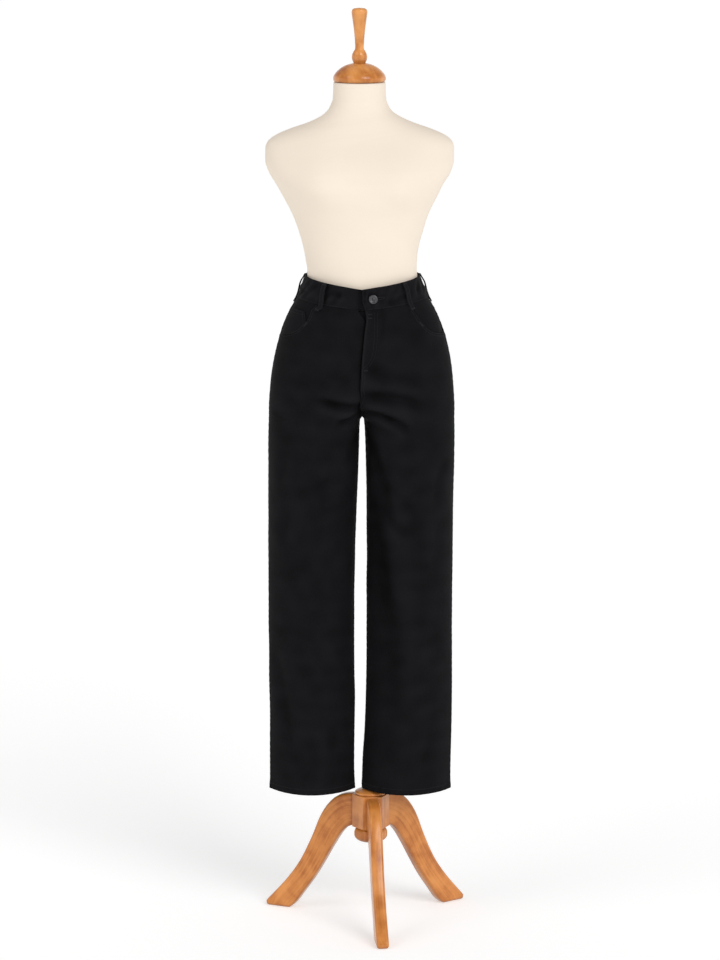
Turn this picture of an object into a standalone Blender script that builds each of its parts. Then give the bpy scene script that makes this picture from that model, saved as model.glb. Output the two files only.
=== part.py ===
"""Black high-rise five-pocket trousers on a limbless dress form with a wooden tripod stand.

Metres, +Z up. The front faces -Y, so the wearer's right is -X. The model is drawn with X = 0 on the
trousers' centre plane and Z = 0 on the floor, and one empty then moves it all so that the middle of
its box's underside is the origin.

A trouser panel is a wall lofted through horizontal sections. A point on it is found from
  side    -1 wearer's right, +1 wearer's left
  face    -1 front, +1 back
  across   0 at the side seam, 1 at the inside leg seam or the centre seam
  height   above the floor, measured at the side seam
"""
import math
from collections import namedtuple

import bmesh
import bpy
import numpy as np
from mathutils import Vector

RIGHT, LEFT = -1, 1
FRONT, BACK = -1, 1

# Cloth
CLOTH = 0.0015
SEAM_HALF = 0.00015
GAP = 0.0003
HEM_HEIGHT = 0.272
HEM_TURN_UP = 0.016
HEM_EXTRA = 0.0011
HEM_FADE_TOP = 0.345

# Heights of the trousers, at the side seam
CROTCH_HEIGHT = 1.0410
CROTCH_RISE = 0.095
FADE_BELOW = 0.130
FADE_ABOVE = 0.070
CROTCH_VALLEY = 0.66
WAIST_SEAM = 1.2775
WAIST_TOP = 1.3215

# Waistband
BAND_THICK = 0.0028
BAND_PROUD = 0.0008
BAND_LAP = 0.036
BAND_LAP_RAMP = 0.026
BAND_LAP_FULL = -0.002
BAND_LAP_DROP = 0.0034
BAND_LAP_COLUMNS = 6

BAND_ROWS = (0.014, 0.029)
BAND_RIGHT_END = -5

# Sections through the trousers. A section's half width and sway are those of the photo's outline,
# front and back are its depths before and behind the side seams, and edge is how lens-like a leg's
# tube is: 1 is an ellipse, 2 is two shallow arches that meet at sharp seams. dip and rise are how far
# a line that starts at this height on the side seam falls at the centre front and climbs at the
# centre back.
Section = namedtuple("Section", "height half_width sway front back edge dip rise")
SECTIONS = (
    Section(0.272, 0.1843, -0.0028, 0.0660, 0.0660, 1.70, 0.0, 0.0),
    Section(0.290, 0.1838, -0.0027, 0.0662, 0.0662, 1.68, 0.0, 0.0),
    Section(0.454, 0.1844, -0.0014, 0.0705, 0.0715, 1.45, 0.0, 0.0),
    Section(0.640, 0.1847, -0.0022, 0.0770, 0.0800, 1.25, 0.0, 0.0),
    Section(0.825, 0.1850, -0.0018, 0.0870, 0.0910, 1.10, 0.0, 0.0),
    Section(0.960, 0.1856, -0.0004, 0.0955, 0.1020, 1.02, 0.0, 0.0),
    Section(1.041, 0.1850, 0.0002, 0.1015, 0.1120, 1.00, 0.0, 0.0),
    Section(1.090, 0.1830, 0.0003, 0.1075, 0.1210, 1.00, 0.0, 0.0),
    Section(1.130, 0.1793, 0.0010, 0.1115, 0.1240, 1.00, 0.0, 0.0),
    Section(1.170, 0.1722, 0.0016, 0.1125, 0.1215, 1.00, 0.0006, 0.0003),
    Section(1.210, 0.1620, 0.0018, 0.1105, 0.1145, 1.00, 0.0050, 0.0025),
    Section(1.250, 0.1450, 0.0020, 0.1065, 0.1060, 1.00, 0.0115, 0.0060),
    Section(1.2775, 0.1300, 0.0021, 0.1030, 0.1005, 1.00, 0.0150, 0.0080),
    Section(1.3000, 0.1212, 0.0020, 0.0995, 0.0965, 1.00, 0.0166, 0.0100),
    Section(1.3215, 0.1134, 0.0020, 0.0965, 0.0935, 1.00, 0.0180, 0.0120),
    Section(1.3400, 0.1090, 0.0020, 0.0945, 0.0915, 1.00, 0.0190, 0.0130),
)
SECTION_FLATNESS = 2.8

# The open slot between the legs: where each leg's inside seam lies
Slot = namedtuple("Slot", "height right_leg left_leg")
SLOT = (
    Slot(0.272, -0.0126, 0.0000),
    Slot(0.290, -0.0136, 0.0005),
    Slot(0.329, -0.0145, 0.0020),
    Slot(0.392, -0.0139, 0.0058),
    Slot(0.454, -0.0138, 0.0088),
    Slot(0.516, -0.0143, 0.0102),
    Slot(0.640, -0.0151, 0.0110),
    Slot(0.764, -0.0133, 0.0110),
    Slot(0.886, -0.0088, 0.0104),
    Slot(0.978, -0.0054, 0.0084),
    Slot(1.008, -0.0042, 0.0072),
    Slot(1.033, -0.0026, 0.0048),
    Slot(1.038, -0.0015, 0.0036),
    Slot(1.040, -0.0006, 0.0026),
    Slot(1.041, 0.00065, 0.00095),
)

# The centre front seam wanders: the buttoned lap pulls it to the wearer's left at the waist
CentreSeam = namedtuple("CentreSeam", "height place")
FRONT_SEAM = (
    CentreSeam(1.041, 0.0008),
    CentreSeam(1.055, -0.0006),
    CentreSeam(1.075, -0.0016),
    CentreSeam(1.114, -0.0004),
    CentreSeam(1.156, 0.0012),
    CentreSeam(1.198, 0.0048),
    CentreSeam(1.2195, 0.0069),
    CentreSeam(1.2475, 0.0100),
    CentreSeam(1.2625, 0.0080),
    CentreSeam(1.275, 0.0042),
    CentreSeam(1.285, 0.0030),
    CentreSeam(1.3035, 0.0022),
)
BACK_SEAM_PLACE = 0.0008
NOTCH_WIDTH = 0.0150
NOTCH_FOOT = 1.236
NOTCH_TOP = 1.2625
NOTCH_CLOSE = 0.004

# The fly
FLY_WIDTH = 0.029
FLY_RAISE = 0.0007
FLY_FOOT = 1.158
FLY_FOOT_FADE = 0.020
FLY_EDGE = 0.004
SHIELD_FROM = -0.014
SHIELD_TO = 0.034
SHIELD_FOOT = 1.165
SHIELD_DROP = 0.0030
SHIELD_THICK = 0.0012
SHIELD_GRID = 6

# Front pocket mouth: how high it runs at each place across the panel, from the side seam inwards
Mouth = namedtuple("Mouth", "across height")
POCKET_MOUTH = (
    Mouth(0.0000, 1.2078),
    Mouth(0.0800, 1.2086),
    Mouth(0.1600, 1.2108),
    Mouth(0.2290, 1.2150),
    Mouth(0.2800, 1.2222),
    Mouth(0.3110, 1.2328),
    Mouth(0.3410, 1.2463),
    Mouth(0.3625, 1.2650),
    Mouth(0.3690, 1.2772),
)
MOUTH_STEPS = (0.0, 0.060, 0.120, 0.175, 0.225, 0.265, 0.300, 0.330, 0.352, 0.369)
FACING_DROP = 0.0050
FACING_THICK = 0.0012
FACING_TUCK = 0.045
FACING_FOOT = 1.199
FACING_LOW_END = 0.300
FACING_HIDE = 0.006
FACING_FADE = 0.036
FACING_GRID = 8
COIN_TOP = 1.2600
COIN_FOOT = 1.2010
COIN_REACH = 0.1100
COIN_START = 0.050
COIN_GRID = 6
COIN_THICK = 0.0012
COIN_LIFT = 0.0008

# Back
YOKE_SIDE = 0.036
YOKE_CENTRE = 0.078
PATCH_TOP = 1.176
PATCH_FOOT = 1.040
PATCH_POINT = 0.014
PATCH_TOP_HALF = 0.0680
PATCH_FOOT_HALF = 0.0590
PATCH_PLACE = 0.0840
PATCH_THICK = 0.0013
PATCH_LIFT = 0.0011
PATCH_ROWS = 8
PATCH_COLUMNS = 9

# Belt loops: side, face and where on the way across each one stands
Loop = namedtuple("Loop", "name side face across lean")
LOOPS = (
    Loop("belt_loop_front_right", RIGHT, FRONT, 0.410, 0.012),
    Loop("belt_loop_front_left", LEFT, FRONT, 0.365, 0.004),
    Loop("belt_loop_side_right", RIGHT, BACK, 0.060, 0.0),
    Loop("belt_loop_side_left", LEFT, BACK, 0.060, 0.0),
    Loop("belt_loop_back", RIGHT, BACK, 0.9985, 0.0),
)
LOOP_WIDTH = 0.0110
LOOP_THICK = 0.0016
LOOP_STAND = 0.0030
LOOP_BELOW = 0.0065
LOOP_FULLNESS = 0.6
LOOP_ROWS = 8

# Button: a turned profile, face first, with its height measured from the waistband
BUTTON_RADIUS = 0.0088
BUTTON_PLACE = 0.0215
BUTTON_HEIGHT = 1.2985
Turn = namedtuple("Turn", "height radius")
BUTTON = (
    Turn(0.0030, 0.0000), Turn(0.0030, 0.0040), Turn(0.0034, 0.0052), Turn(0.0040, 0.0066),
    Turn(0.0036, 0.0080), Turn(0.0024, BUTTON_RADIUS), Turn(0.0016, 0.0080), Turn(0.0012, 0.0060),
    Turn(0.0012, 0.0030), Turn(0.0000, 0.0030), Turn(0.0000, 0.0000),
)

# Folds as soft troughs, drawn in the front view: from and to are (x, z), one row a fold
Fold = namedtuple("Fold", "side face x_from z_from x_to z_to width depth")
FOLDS = (
    Fold(RIGHT, FRONT, -0.004, 1.071, -0.084, 1.084, 0.0065, 0.0030),
    Fold(RIGHT, FRONT, -0.004, 1.060, -0.046, 1.040, 0.0055, 0.0028),
    Fold(LEFT, FRONT, 0.008, 1.092, 0.118, 1.069, 0.0090, 0.0034),
    Fold(LEFT, FRONT, 0.006, 1.061, 0.088, 1.028, 0.0065, 0.0034),
    Fold(LEFT, FRONT, 0.036, 0.870, 0.056, 0.700, 0.0120, 0.0042),
    Fold(LEFT, FRONT, 0.056, 0.700, 0.064, 0.440, 0.0140, 0.0042),
    Fold(RIGHT, FRONT, -0.182, 0.640, -0.140, 0.360, 0.0120, 0.0020),
    Fold(RIGHT, BACK, -0.006, 1.046, -0.080, 1.004, 0.0080, 0.0034),
    Fold(LEFT, BACK, 0.006, 1.046, 0.092, 0.996, 0.0080, 0.0034),
    Fold(LEFT, BACK, 0.120, 0.700, 0.085, 0.430, 0.0150, 0.0036),
    Fold(RIGHT, BACK, -0.060, 0.760, -0.096, 0.500, 0.0150, 0.0036),
)

FOLD_EDGE = 0.10

# Dress form. Its sway is the lean of the body over the stand.
FormSection = namedtuple("FormSection", "height half_width sway front back")
FORM = (
    FormSection(1.1050, 0.1600, 0.0003, 0.0900, 0.1020),
    FormSection(1.1300, 0.1680, 0.0008, 0.0985, 0.1120),
    FormSection(1.1700, 0.1600, 0.0014, 0.0995, 0.1105),
    FormSection(1.2100, 0.1490, 0.0016, 0.0975, 0.1060),
    FormSection(1.2450, 0.1360, 0.0018, 0.0945, 0.1010),
    FormSection(1.2750, 0.1240, 0.0019, 0.0915, 0.0965),
    FormSection(1.3000, 0.1150, 0.0018, 0.0885, 0.0905),
    FormSection(1.3180, 0.1094, 0.0015, 0.0872, 0.0885),
    FormSection(1.3340, 0.1087, 0.0008, 0.0872, 0.0875),
    FormSection(1.3464, 0.1100, 0.0000, 0.0880, 0.0875),
    FormSection(1.3704, 0.1132, -0.0010, 0.0910, 0.0880),
    FormSection(1.4062, 0.1225, -0.0012, 0.0975, 0.0900),
    FormSection(1.4420, 0.1347, -0.0022, 0.1055, 0.0935),
    FormSection(1.4778, 0.1524, -0.0028, 0.1120, 0.0965),
    FormSection(1.5016, 0.1651, -0.0035, 0.1130, 0.0970),
    FormSection(1.5254, 0.1795, -0.0035, 0.1090, 0.0960),
    FormSection(1.5491, 0.1867, -0.0038, 0.1000, 0.0930),
    FormSection(1.5728, 0.1866, -0.0036, 0.0870, 0.0880),
    FormSection(1.5847, 0.1834, -0.0030, 0.0800, 0.0845),
    FormSection(1.5965, 0.1710, -0.0024, 0.0740, 0.0800),
    FormSection(1.6103, 0.1411, -0.0020, 0.0670, 0.0745),
    FormSection(1.6222, 0.1065, -0.0018, 0.0620, 0.0690),
    FormSection(1.6340, 0.0805, -0.0024, 0.0580, 0.0640),
    FormSection(1.6458, 0.0642, -0.0038, 0.0550, 0.0590),
    FormSection(1.6576, 0.0570, -0.0042, 0.0530, 0.0550),
    FormSection(1.6700, 0.0528, -0.0040, 0.0515, 0.0530),
    FormSection(1.7030, 0.0515, -0.0040, 0.0510, 0.0515),
)
FORM_SIDES = 24
CAP_SIDES = 24
FINIAL_SIDES = 16
TURNED_SIDES = 20
POLE_SIDES = 16
BUTTON_SIDES = 16
FORM_SHARP = math.radians(50.0)
FORM_SQUARENESS = 2.25
FORM_FOOT = 1.1000
FormEdge = namedtuple("FormEdge", "above inset")
FORM_EDGE = (FormEdge(0.0, 0.018), FormEdge(0.0012, 0.009))
NECK_PLACE = -0.0040

# Cap and finial: turned profiles, top first
CAP = (
    Turn(1.7400, 0.0000), Turn(1.7400, 0.0126), Turn(1.7375, 0.0215), Turn(1.7354, 0.0281),
    Turn(1.7297, 0.0378), Turn(1.7229, 0.0453), Turn(1.7174, 0.0496), Turn(1.7117, 0.0520),
    Turn(1.7066, 0.0478), Turn(1.7033, 0.0453), Turn(1.7033, 0.0000),
)
FINIAL = (
    Turn(1.8483, 0.0000), Turn(1.8478, 0.0055), Turn(1.8450, 0.0115), Turn(1.8405, 0.0150),
    Turn(1.8350, 0.0160), Turn(1.8290, 0.0155), Turn(1.8150, 0.0130), Turn(1.7900, 0.0100),
    Turn(1.7680, 0.0082), Turn(1.7640, 0.0074), Turn(1.7620, 0.0076), Turn(1.7590, 0.0125),
    Turn(1.7555, 0.0150), Turn(1.7525, 0.0156), Turn(1.7480, 0.0146), Turn(1.7430, 0.0125),
    Turn(1.7403, 0.0120), Turn(1.7403, 0.0000),
)

# Stand
POLE_PLACE = 0.0189
POLE_RADIUS = 0.0060
POLE_HOLE = POLE_RADIUS + GAP
PLATE = (
    Turn(FORM_FOOT - GAP, 0.0000), Turn(FORM_FOOT - GAP, 0.0380),
    Turn(FORM_FOOT - GAP - 0.0080, 0.0380), Turn(FORM_FOOT - GAP - 0.0080, 0.0000),
)
COLLAR = (
    Turn(0.2700, POLE_HOLE), Turn(0.2692, 0.0140), Turn(0.2670, 0.0240), Turn(0.2640, 0.0312),
    Turn(0.2620, 0.0326), Turn(0.2561, 0.0326), Turn(0.2543, 0.0310), Turn(0.2543, POLE_HOLE),
)
HUB_TOP = 0.2540
HUB_FOOT = 0.1867
HUB_RADIUS = 0.0380
HUB_FACE = HUB_RADIUS * math.cos(math.radians(30.0)) + GAP
KNOB = (
    Turn(0.1864, 0.0000), Turn(0.1864, 0.0270), Turn(0.1820, 0.0320), Turn(0.1730, 0.0340),
    Turn(0.1650, 0.0318), Turn(0.1595, 0.0255), Turn(0.1572, 0.0160), Turn(0.1570, 0.0000),
)
LEG_NAMES = ("leg_front", "leg_left", "leg_right")
LEG_YAW = math.radians(6.0)
LEG_THICK = 0.0220
LEG_ROUND = 0.0022
LEG_SHARP = math.radians(50.0)
LEG_FLAT = math.radians(0.5)
LEG_WELD = 0.00002
HUB_ROUND = 0.0012
MERGE = 0.00005
LegEdge = namedtuple("LegEdge", "height reach")
LEG_OUTER = (
    LegEdge(0.0000, 0.2320), LegEdge(0.0040, 0.2355), LegEdge(0.0120, 0.2300),
    LegEdge(0.0260, 0.2170), LegEdge(0.0640, 0.1835), LegEdge(0.1010, 0.1570),
    LegEdge(0.1560, 0.1285), LegEdge(0.2090, 0.1035), LegEdge(0.2340, 0.0850),
    LegEdge(0.2460, 0.0690), LegEdge(0.2510, 0.0520), LegEdge(0.2525, HUB_FACE),
)
LEG_INNER = (
    LegEdge(0.1880, HUB_FACE), LegEdge(0.1850, 0.0450), LegEdge(0.1750, 0.0580),
    LegEdge(0.1440, 0.0805), LegEdge(0.1080, 0.1012), LegEdge(0.0710, 0.1235),
    LegEdge(0.0340, 0.1500), LegEdge(0.0090, 0.1690), LegEdge(0.0000, 0.1800),
)

# Where the leg's outline has its points: from, to and how many on its long curves, and those at its top
LEG_OUTER_CURVE = (0.0040, 0.2350, 12)
LEG_OUTER_TOP = (0.2460, 0.2510, 0.2525)
LEG_INNER_CURVE = (0.1750, 0.0090, 9)
LEG_INNER_TOP = (0.1880, 0.1850)

# Rows and columns of the panels' lofts
LEG_ROWS = (0.272, 0.288, 0.360, 0.460, 0.560, 0.660, 0.760, 0.860, 0.940, 0.995, 1.025, 1.0375)
CROTCH_STEPS = 6
TOP_ROWS = (1.165, 1.190)
COLUMNS = (0.0, 0.080, 0.165, 0.255, 0.345, 0.435, 0.525, 0.615, 0.705, 0.790, 0.865, 0.935, 1.0)

DENIM = ("black_denim", (0.012, 0.012, 0.013), 0.85, 0.0)
DENIM_EDGE = ("black_denim_band", (0.014, 0.014, 0.015), 0.85, 0.0)
JERSEY = ("cream_jersey", (0.83, 0.74, 0.62), 0.90, 0.0)
WOOD = ("orange_wood", (0.50, 0.20, 0.065), 0.38, 0.0)
STEEL = ("pole_steel", (0.45, 0.45, 0.46), 0.30, 1.0)
GUNMETAL = ("button_metal", (0.10, 0.10, 0.11), 0.35, 1.0)


def smooth_read(table, name, height, key="height"):
    """Value of a table's column at a height, on a smooth curve that never overshoots its rows."""
    knots = np.array([getattr(row, key) for row in table])
    values = np.array([getattr(row, name) for row in table])
    steps = np.diff(knots)
    slopes = np.diff(values) / steps
    tangents = np.empty_like(values)
    tangents[0] = slopes[0]
    tangents[-1] = slopes[-1]
    before, after = slopes[:-1], slopes[1:]
    weight_before = 2.0 * steps[1:] + steps[:-1]
    weight_after = steps[1:] + 2.0 * steps[:-1]
    same_way = before * after > 0.0
    safe_before = np.where(same_way, before, 1.0)
    safe_after = np.where(same_way, after, 1.0)
    mean = (weight_before + weight_after) / (weight_before / safe_before + weight_after / safe_after)
    tangents[1:-1] = np.where(same_way, mean, 0.0)
    place = np.clip(np.asarray(height, dtype=float), knots[0], knots[-1])
    index = np.clip(np.searchsorted(knots, place, side="right") - 1, 0, len(steps) - 1)
    step = steps[index]
    part = (place - knots[index]) / step
    rest = 1.0 - part
    return ((1.0 + 2.0 * part) * rest ** 2 * values[index]
            + part * rest ** 2 * step * tangents[index]
            + part ** 2 * (3.0 - 2.0 * part) * values[index + 1]
            - part ** 2 * rest * step * tangents[index + 1])


def smooth_step(low, high, value):
    """0 below low, 1 above high, and a smooth ramp between them."""
    part = np.clip((np.asarray(value, dtype=float) - low) / (high - low), 0.0, 1.0)
    return part * part * (3.0 - 2.0 * part)


def line_height(face, across, height):
    """Real height of a line that starts at a height on the side seam."""
    centre = np.sin(0.5 * math.pi * across) ** 2
    if face == FRONT:
        return height - smooth_read(SECTIONS, "dip", height) * centre
    return height + smooth_read(SECTIONS, "rise", height) * centre


def inner_place(side, face, height):
    """X of a panel's inner edge: the inside leg seam, or the centre seam above the crotch."""
    leg = smooth_read(SLOT, "right_leg" if side == RIGHT else "left_leg", height)
    if face == BACK:
        seam = np.full_like(leg, BACK_SEAM_PLACE)
    else:
        seam = smooth_read(FRONT_SEAM, "place", height)
    if face == FRONT and side == RIGHT:
        seam = seam - NOTCH_WIDTH * smooth_step(NOTCH_FOOT, NOTCH_TOP, height) \
            * (1.0 - smooth_step(NOTCH_TOP, NOTCH_TOP + NOTCH_CLOSE, height))
    return np.where(np.asarray(height) <= CROTCH_HEIGHT, leg, seam + side * SEAM_HALF)


def crotch_share(across, height):
    """0 where the section is two leg tubes and 1 where it is one body.

    At the centre it follows the crotch curve, a quarter ellipse. Away from there it is a slow ramp.
    """
    part = np.clip((np.asarray(height, dtype=float) - CROTCH_HEIGHT) / CROTCH_RISE, 0.0, 1.0)
    centre = np.sqrt(np.clip(1.0 - (1.0 - part) ** 2, 0.0, 1.0))
    slow = smooth_step(CROTCH_HEIGHT - FADE_BELOW, CROTCH_HEIGHT + FADE_ABOVE, height)
    inside = smooth_step(CROTCH_VALLEY, 1.0, across)
    return slow + (centre - slow) * inside


def base_point(side, face, across, height):
    """Point of the plain garment surface, with no folds."""
    real = line_height(face, across, height)
    half_width = smooth_read(SECTIONS, "half_width", real)
    outer = smooth_read(SECTIONS, "sway", real) + side * half_width
    inner = inner_place(side, face, real)
    depth = smooth_read(SECTIONS, "front" if face == FRONT else "back", real)
    edge = smooth_read(SECTIONS, "edge", real)
    share = np.cos(0.5 * math.pi * across) ** 2
    body = np.sqrt(np.clip(1.0 - share ** SECTION_FLATNESS, 0.0, 1.0))
    leg = np.clip(np.sin(math.pi * across), 0.0, 1.0) ** edge
    mix = crotch_share(across, real)
    x = inner + (outer - inner) * share
    y = face * depth * ((1.0 - mix) * leg + mix * body)
    return np.stack(np.broadcast_arrays(x, y, real), axis=-1)


def surface_normal(side, face, across, height):
    """Outward unit normal of the plain surface."""
    step = 0.004
    rise = 0.0015
    low = np.clip(across - step, 0.0005, 0.9995)
    high = np.clip(across + step, 0.0005, 0.9995)
    along = base_point(side, face, high, height) - base_point(side, face, low, height)
    up = base_point(side, face, across, height + rise) - base_point(side, face, across, height - rise)
    normal = np.cross(along, up) * side * face
    return normal / np.maximum(np.linalg.norm(normal, axis=-1, keepdims=True), 1e-12)


def fold_relief(side, face, across, x, z):
    """How far the folds sink the surface, as a negative height. They fade out at the seams."""
    relief = np.zeros(np.broadcast(x, z).shape)
    for fold in FOLDS:
        if fold.side != side or fold.face != face:
            continue
        run = np.array([fold.x_to - fold.x_from, fold.z_to - fold.z_from])
        length = np.hypot(*run)
        along = ((x - fold.x_from) * run[0] + (z - fold.z_from) * run[1]) / length ** 2
        away = ((x - fold.x_from) * -run[1] + (z - fold.z_from) * run[0]) / length
        fade = smooth_step(-0.25, 0.25, along) * (1.0 - smooth_step(0.65, 1.10, along))
        relief = relief - fold.depth * fade * np.exp(-(away / fold.width) ** 2)
    return relief * smooth_step(0.0, FOLD_EDGE, np.minimum(across, 1.0 - across))


def fly_relief(side, face, x, z):
    """The left front stands a little proud where the fly is doubled."""
    if side != LEFT or face != FRONT:
        return 0.0
    from_seam = x - smooth_read(FRONT_SEAM, "place", z)
    width = 1.0 - smooth_step(FLY_WIDTH, FLY_WIDTH + FLY_EDGE, from_seam)
    return FLY_RAISE * width * smooth_step(FLY_FOOT, FLY_FOOT + FLY_FOOT_FADE, z)


def surface_point(side, face, across, height, lift=0.0):
    """Point of the folded surface, moved out by lift."""
    across = np.asarray(across, dtype=float)
    height = np.asarray(height, dtype=float)
    point = base_point(side, face, across, height)
    relief = fold_relief(side, face, across, point[..., 0], point[..., 2])
    relief = relief + fly_relief(side, face, point[..., 0], point[..., 2])
    move = np.asarray(relief + lift)[..., None]
    return point + surface_normal(side, face, across, height) * move


def across_at(side, face, x, height):
    """The way across of the point that lies at x."""
    outer = smooth_read(SECTIONS, "sway", height) + side * smooth_read(SECTIONS, "half_width", height)
    inner = inner_place(side, face, height)
    share = np.clip((x - inner) / (outer - inner), 0.0, 1.0)
    return 2.0 / math.pi * np.arccos(np.sqrt(share))


def centre_point(place, height, lift):
    """Point of the front at x near the centre, as if it had no opening, moved out by lift."""
    place, height = np.broadcast_arrays(np.asarray(place, dtype=float), np.asarray(height, dtype=float))
    side = np.where(place < 0.0, RIGHT, LEFT)
    outer = smooth_read(SECTIONS, "sway", height) + side * smooth_read(SECTIONS, "half_width", height)
    share = np.clip(place / outer, 0.0, 1.0)
    across = 2.0 / math.pi * np.arccos(np.sqrt(share))
    real = line_height(FRONT, across, height)
    depth = smooth_read(SECTIONS, "front", real) * np.sqrt(1.0 - share ** SECTION_FLATNESS)
    slope = (smooth_read(SECTIONS, "front", real + GAP) - smooth_read(SECTIONS, "front", real)) / GAP
    scale = 1.0 / np.sqrt(1.0 + slope ** 2)
    return np.stack([place, -depth - lift * scale, real - lift * scale * slope], axis=-1)


def wall(name, outer, inner, material):
    """Closed wall between two grids of points, rows by columns."""
    rows, columns = outer.shape[:2]
    mesh = bpy.data.meshes.new(name)
    shell = bmesh.new()
    skins = []
    for grid in (outer, inner):
        skins.append([[shell.verts.new(grid[r, c]) for c in range(columns)] for r in range(rows)])
    out, ins = skins
    for r in range(rows - 1):
        for c in range(columns - 1):
            shell.faces.new((out[r][c], out[r][c + 1], out[r + 1][c + 1], out[r + 1][c]))
            shell.faces.new((ins[r][c], ins[r + 1][c], ins[r + 1][c + 1], ins[r][c + 1]))
    rim = [(r, 0) for r in range(rows - 1, 0, -1)] + [(0, c) for c in range(columns - 1)]
    rim += [(r, columns - 1) for r in range(rows - 1)] + [(rows - 1, c) for c in range(columns - 1, 0, -1)]
    for here, there in zip(rim, rim[1:] + rim[:1]):
        shell.faces.new((out[here[0]][here[1]], ins[here[0]][here[1]],
                         ins[there[0]][there[1]], out[there[0]][there[1]]))
    bmesh.ops.recalc_face_normals(shell, faces=shell.faces)
    shell.to_mesh(mesh)
    shell.free()
    return add_object(name, mesh, material)


def add_object(name, mesh, material):
    """Object of a mesh with its material, in the model's collection."""
    mesh.materials.clear()
    mesh.materials.append(finish(*material))
    piece = bpy.data.objects.new(name, mesh)
    bpy.data.collections["trousers_on_form"].objects.link(piece)
    return piece


def finish(name, colour, roughness, metallic):
    """Principled material, made once."""
    found = bpy.data.materials.get(name)
    if found:
        return found
    material = bpy.data.materials.new(name)
    material.use_nodes = True
    shader = material.node_tree.nodes["Principled BSDF"]
    shader.inputs["Base Color"].default_value = (*colour, 1.0)
    shader.inputs["Roughness"].default_value = roughness
    shader.inputs["Metallic"].default_value = metallic
    material.diffuse_color = (*colour, 1.0)
    return material


def keep_on_side(points, face):
    """Hold a panel's points on its own side of the side and inside leg seams."""
    held = points.copy()
    if face == FRONT:
        held[..., 1] = np.minimum(held[..., 1], -SEAM_HALF)
    else:
        held[..., 1] = np.maximum(held[..., 1], SEAM_HALF)
    return held


def panel(name, side, face, across, height, thickness, material=DENIM, lift=0.0):
    """Wall of cloth on the garment's surface. across, height and thickness are grids."""
    outer = keep_on_side(surface_point(side, face, across, height, lift), face)
    inner = keep_on_side(surface_point(side, face, across, height, lift - thickness), face)
    return wall(name, outer, inner, material)


def crotch_rows():
    """Rows through the crotch, close together at the bottom of its curve."""
    turns = np.linspace(0.0, 0.5 * math.pi, CROTCH_STEPS + 1)
    return CROTCH_HEIGHT + CROTCH_RISE * (1.0 - np.cos(turns))


def hem_thickness(height):
    """The hem is turned up inside, so the wall is thicker there."""
    return CLOTH + HEM_EXTRA * (1.0 - smooth_step(HEM_HEIGHT + HEM_TURN_UP, HEM_FADE_TOP, height))


def make_fronts():
    """Both front panels, with the pocket mouth cut out of the top outer corner."""
    mouth = smooth_read(POCKET_MOUTH, "height", MOUTH_STEPS, key="across")
    rows = np.concatenate([LEG_ROWS, crotch_rows(), TOP_ROWS, mouth])
    start = np.concatenate([np.zeros(len(rows) - len(mouth)), MOUTH_STEPS])
    share = np.array(COLUMNS)
    for side, name in ((RIGHT, "front_panel_right"), (LEFT, "front_panel_left")):
        across = start[:, None] + (1.0 - start[:, None]) * share[None, :]
        height = np.repeat(rows[:, None], len(share), axis=1)
        panel(name, side, FRONT, across, height, hem_thickness(height))


def yoke_seam(across):
    """Height of the yoke's seam: a shallow V to the centre back."""
    share = np.cos(0.5 * math.pi * across) ** 2
    return WAIST_SEAM - YOKE_SIDE - (YOKE_CENTRE - YOKE_SIDE) * (1.0 - share)


def make_backs():
    """Both back panels, up to the yoke's seam, and both yokes."""
    plain = np.concatenate([LEG_ROWS, crotch_rows()])
    share = np.array(COLUMNS)
    seam = yoke_seam(share)
    low = plain[-1]
    for side, word in ((RIGHT, "right"), (LEFT, "left")):
        rows = [np.full_like(share, row) for row in plain]
        rows += [low + (seam - SEAM_HALF - low) * part for part in (0.25, 0.5, 0.75, 1.0)]
        height = np.array(rows)
        across = np.repeat(share[None, :], len(rows), axis=0)
        panel("back_panel_" + word, side, BACK, across, height, hem_thickness(height))
        top = WAIST_SEAM - SEAM_HALF
        height = np.array([seam + SEAM_HALF + (top - seam - SEAM_HALF) * part
                           for part in (0.0, 0.33, 0.67, 1.0)])
        across = np.repeat(share[None, :], 4, axis=0)
        panel("back_yoke_" + word, side, BACK, across, height, CLOTH)


def facing_depth(across, height):
    """How deep the facing lies: flush at the side seam, under the panel at the mouth."""
    above = height - smooth_read(POCKET_MOUTH, "height", across, key="across")
    return FACING_DROP * (1.0 - smooth_step(FACING_HIDE, FACING_FADE, above))


def facing_point(side, across, height, lift):
    """Point of the pocket facing's outer surface, moved out by lift."""
    lift = lift - facing_depth(across, height)
    return keep_on_side(surface_point(side, FRONT, across, height, lift), FRONT)


def make_facings():
    """The facing inside each front pocket's mouth."""
    rows = np.linspace(FACING_FOOT, WAIST_SEAM - SEAM_HALF, FACING_GRID)
    share = np.linspace(0.0, 1.0, FACING_GRID)
    end = np.linspace(FACING_LOW_END, POCKET_MOUTH[-1].across + FACING_TUCK, FACING_GRID)
    for side, word in ((RIGHT, "right"), (LEFT, "left")):
        across = end[:, None] * share[None, :]
        height = np.repeat(rows[:, None], FACING_GRID, axis=1)
        outer = facing_point(side, across, height, 0.0)
        inner = facing_point(side, across, height, -FACING_THICK)
        wall("pocket_facing_" + word, outer, inner, DENIM)


def make_coin_pocket():
    """Coin pocket on the right facing."""
    rows = np.linspace(COIN_FOOT, COIN_TOP, COIN_GRID)
    end = across_at(RIGHT, FRONT, np.full_like(rows, -COIN_REACH), rows)
    across = COIN_START + (end[:, None] - COIN_START) * np.linspace(0.0, 1.0, COIN_GRID)[None, :]
    height = np.repeat(rows[:, None], COIN_GRID, axis=1)
    outer = facing_point(RIGHT, across, height, COIN_LIFT + COIN_THICK)
    inner = facing_point(RIGHT, across, height, COIN_LIFT)
    wall("coin_pocket", outer, inner, DENIM_EDGE)


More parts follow.
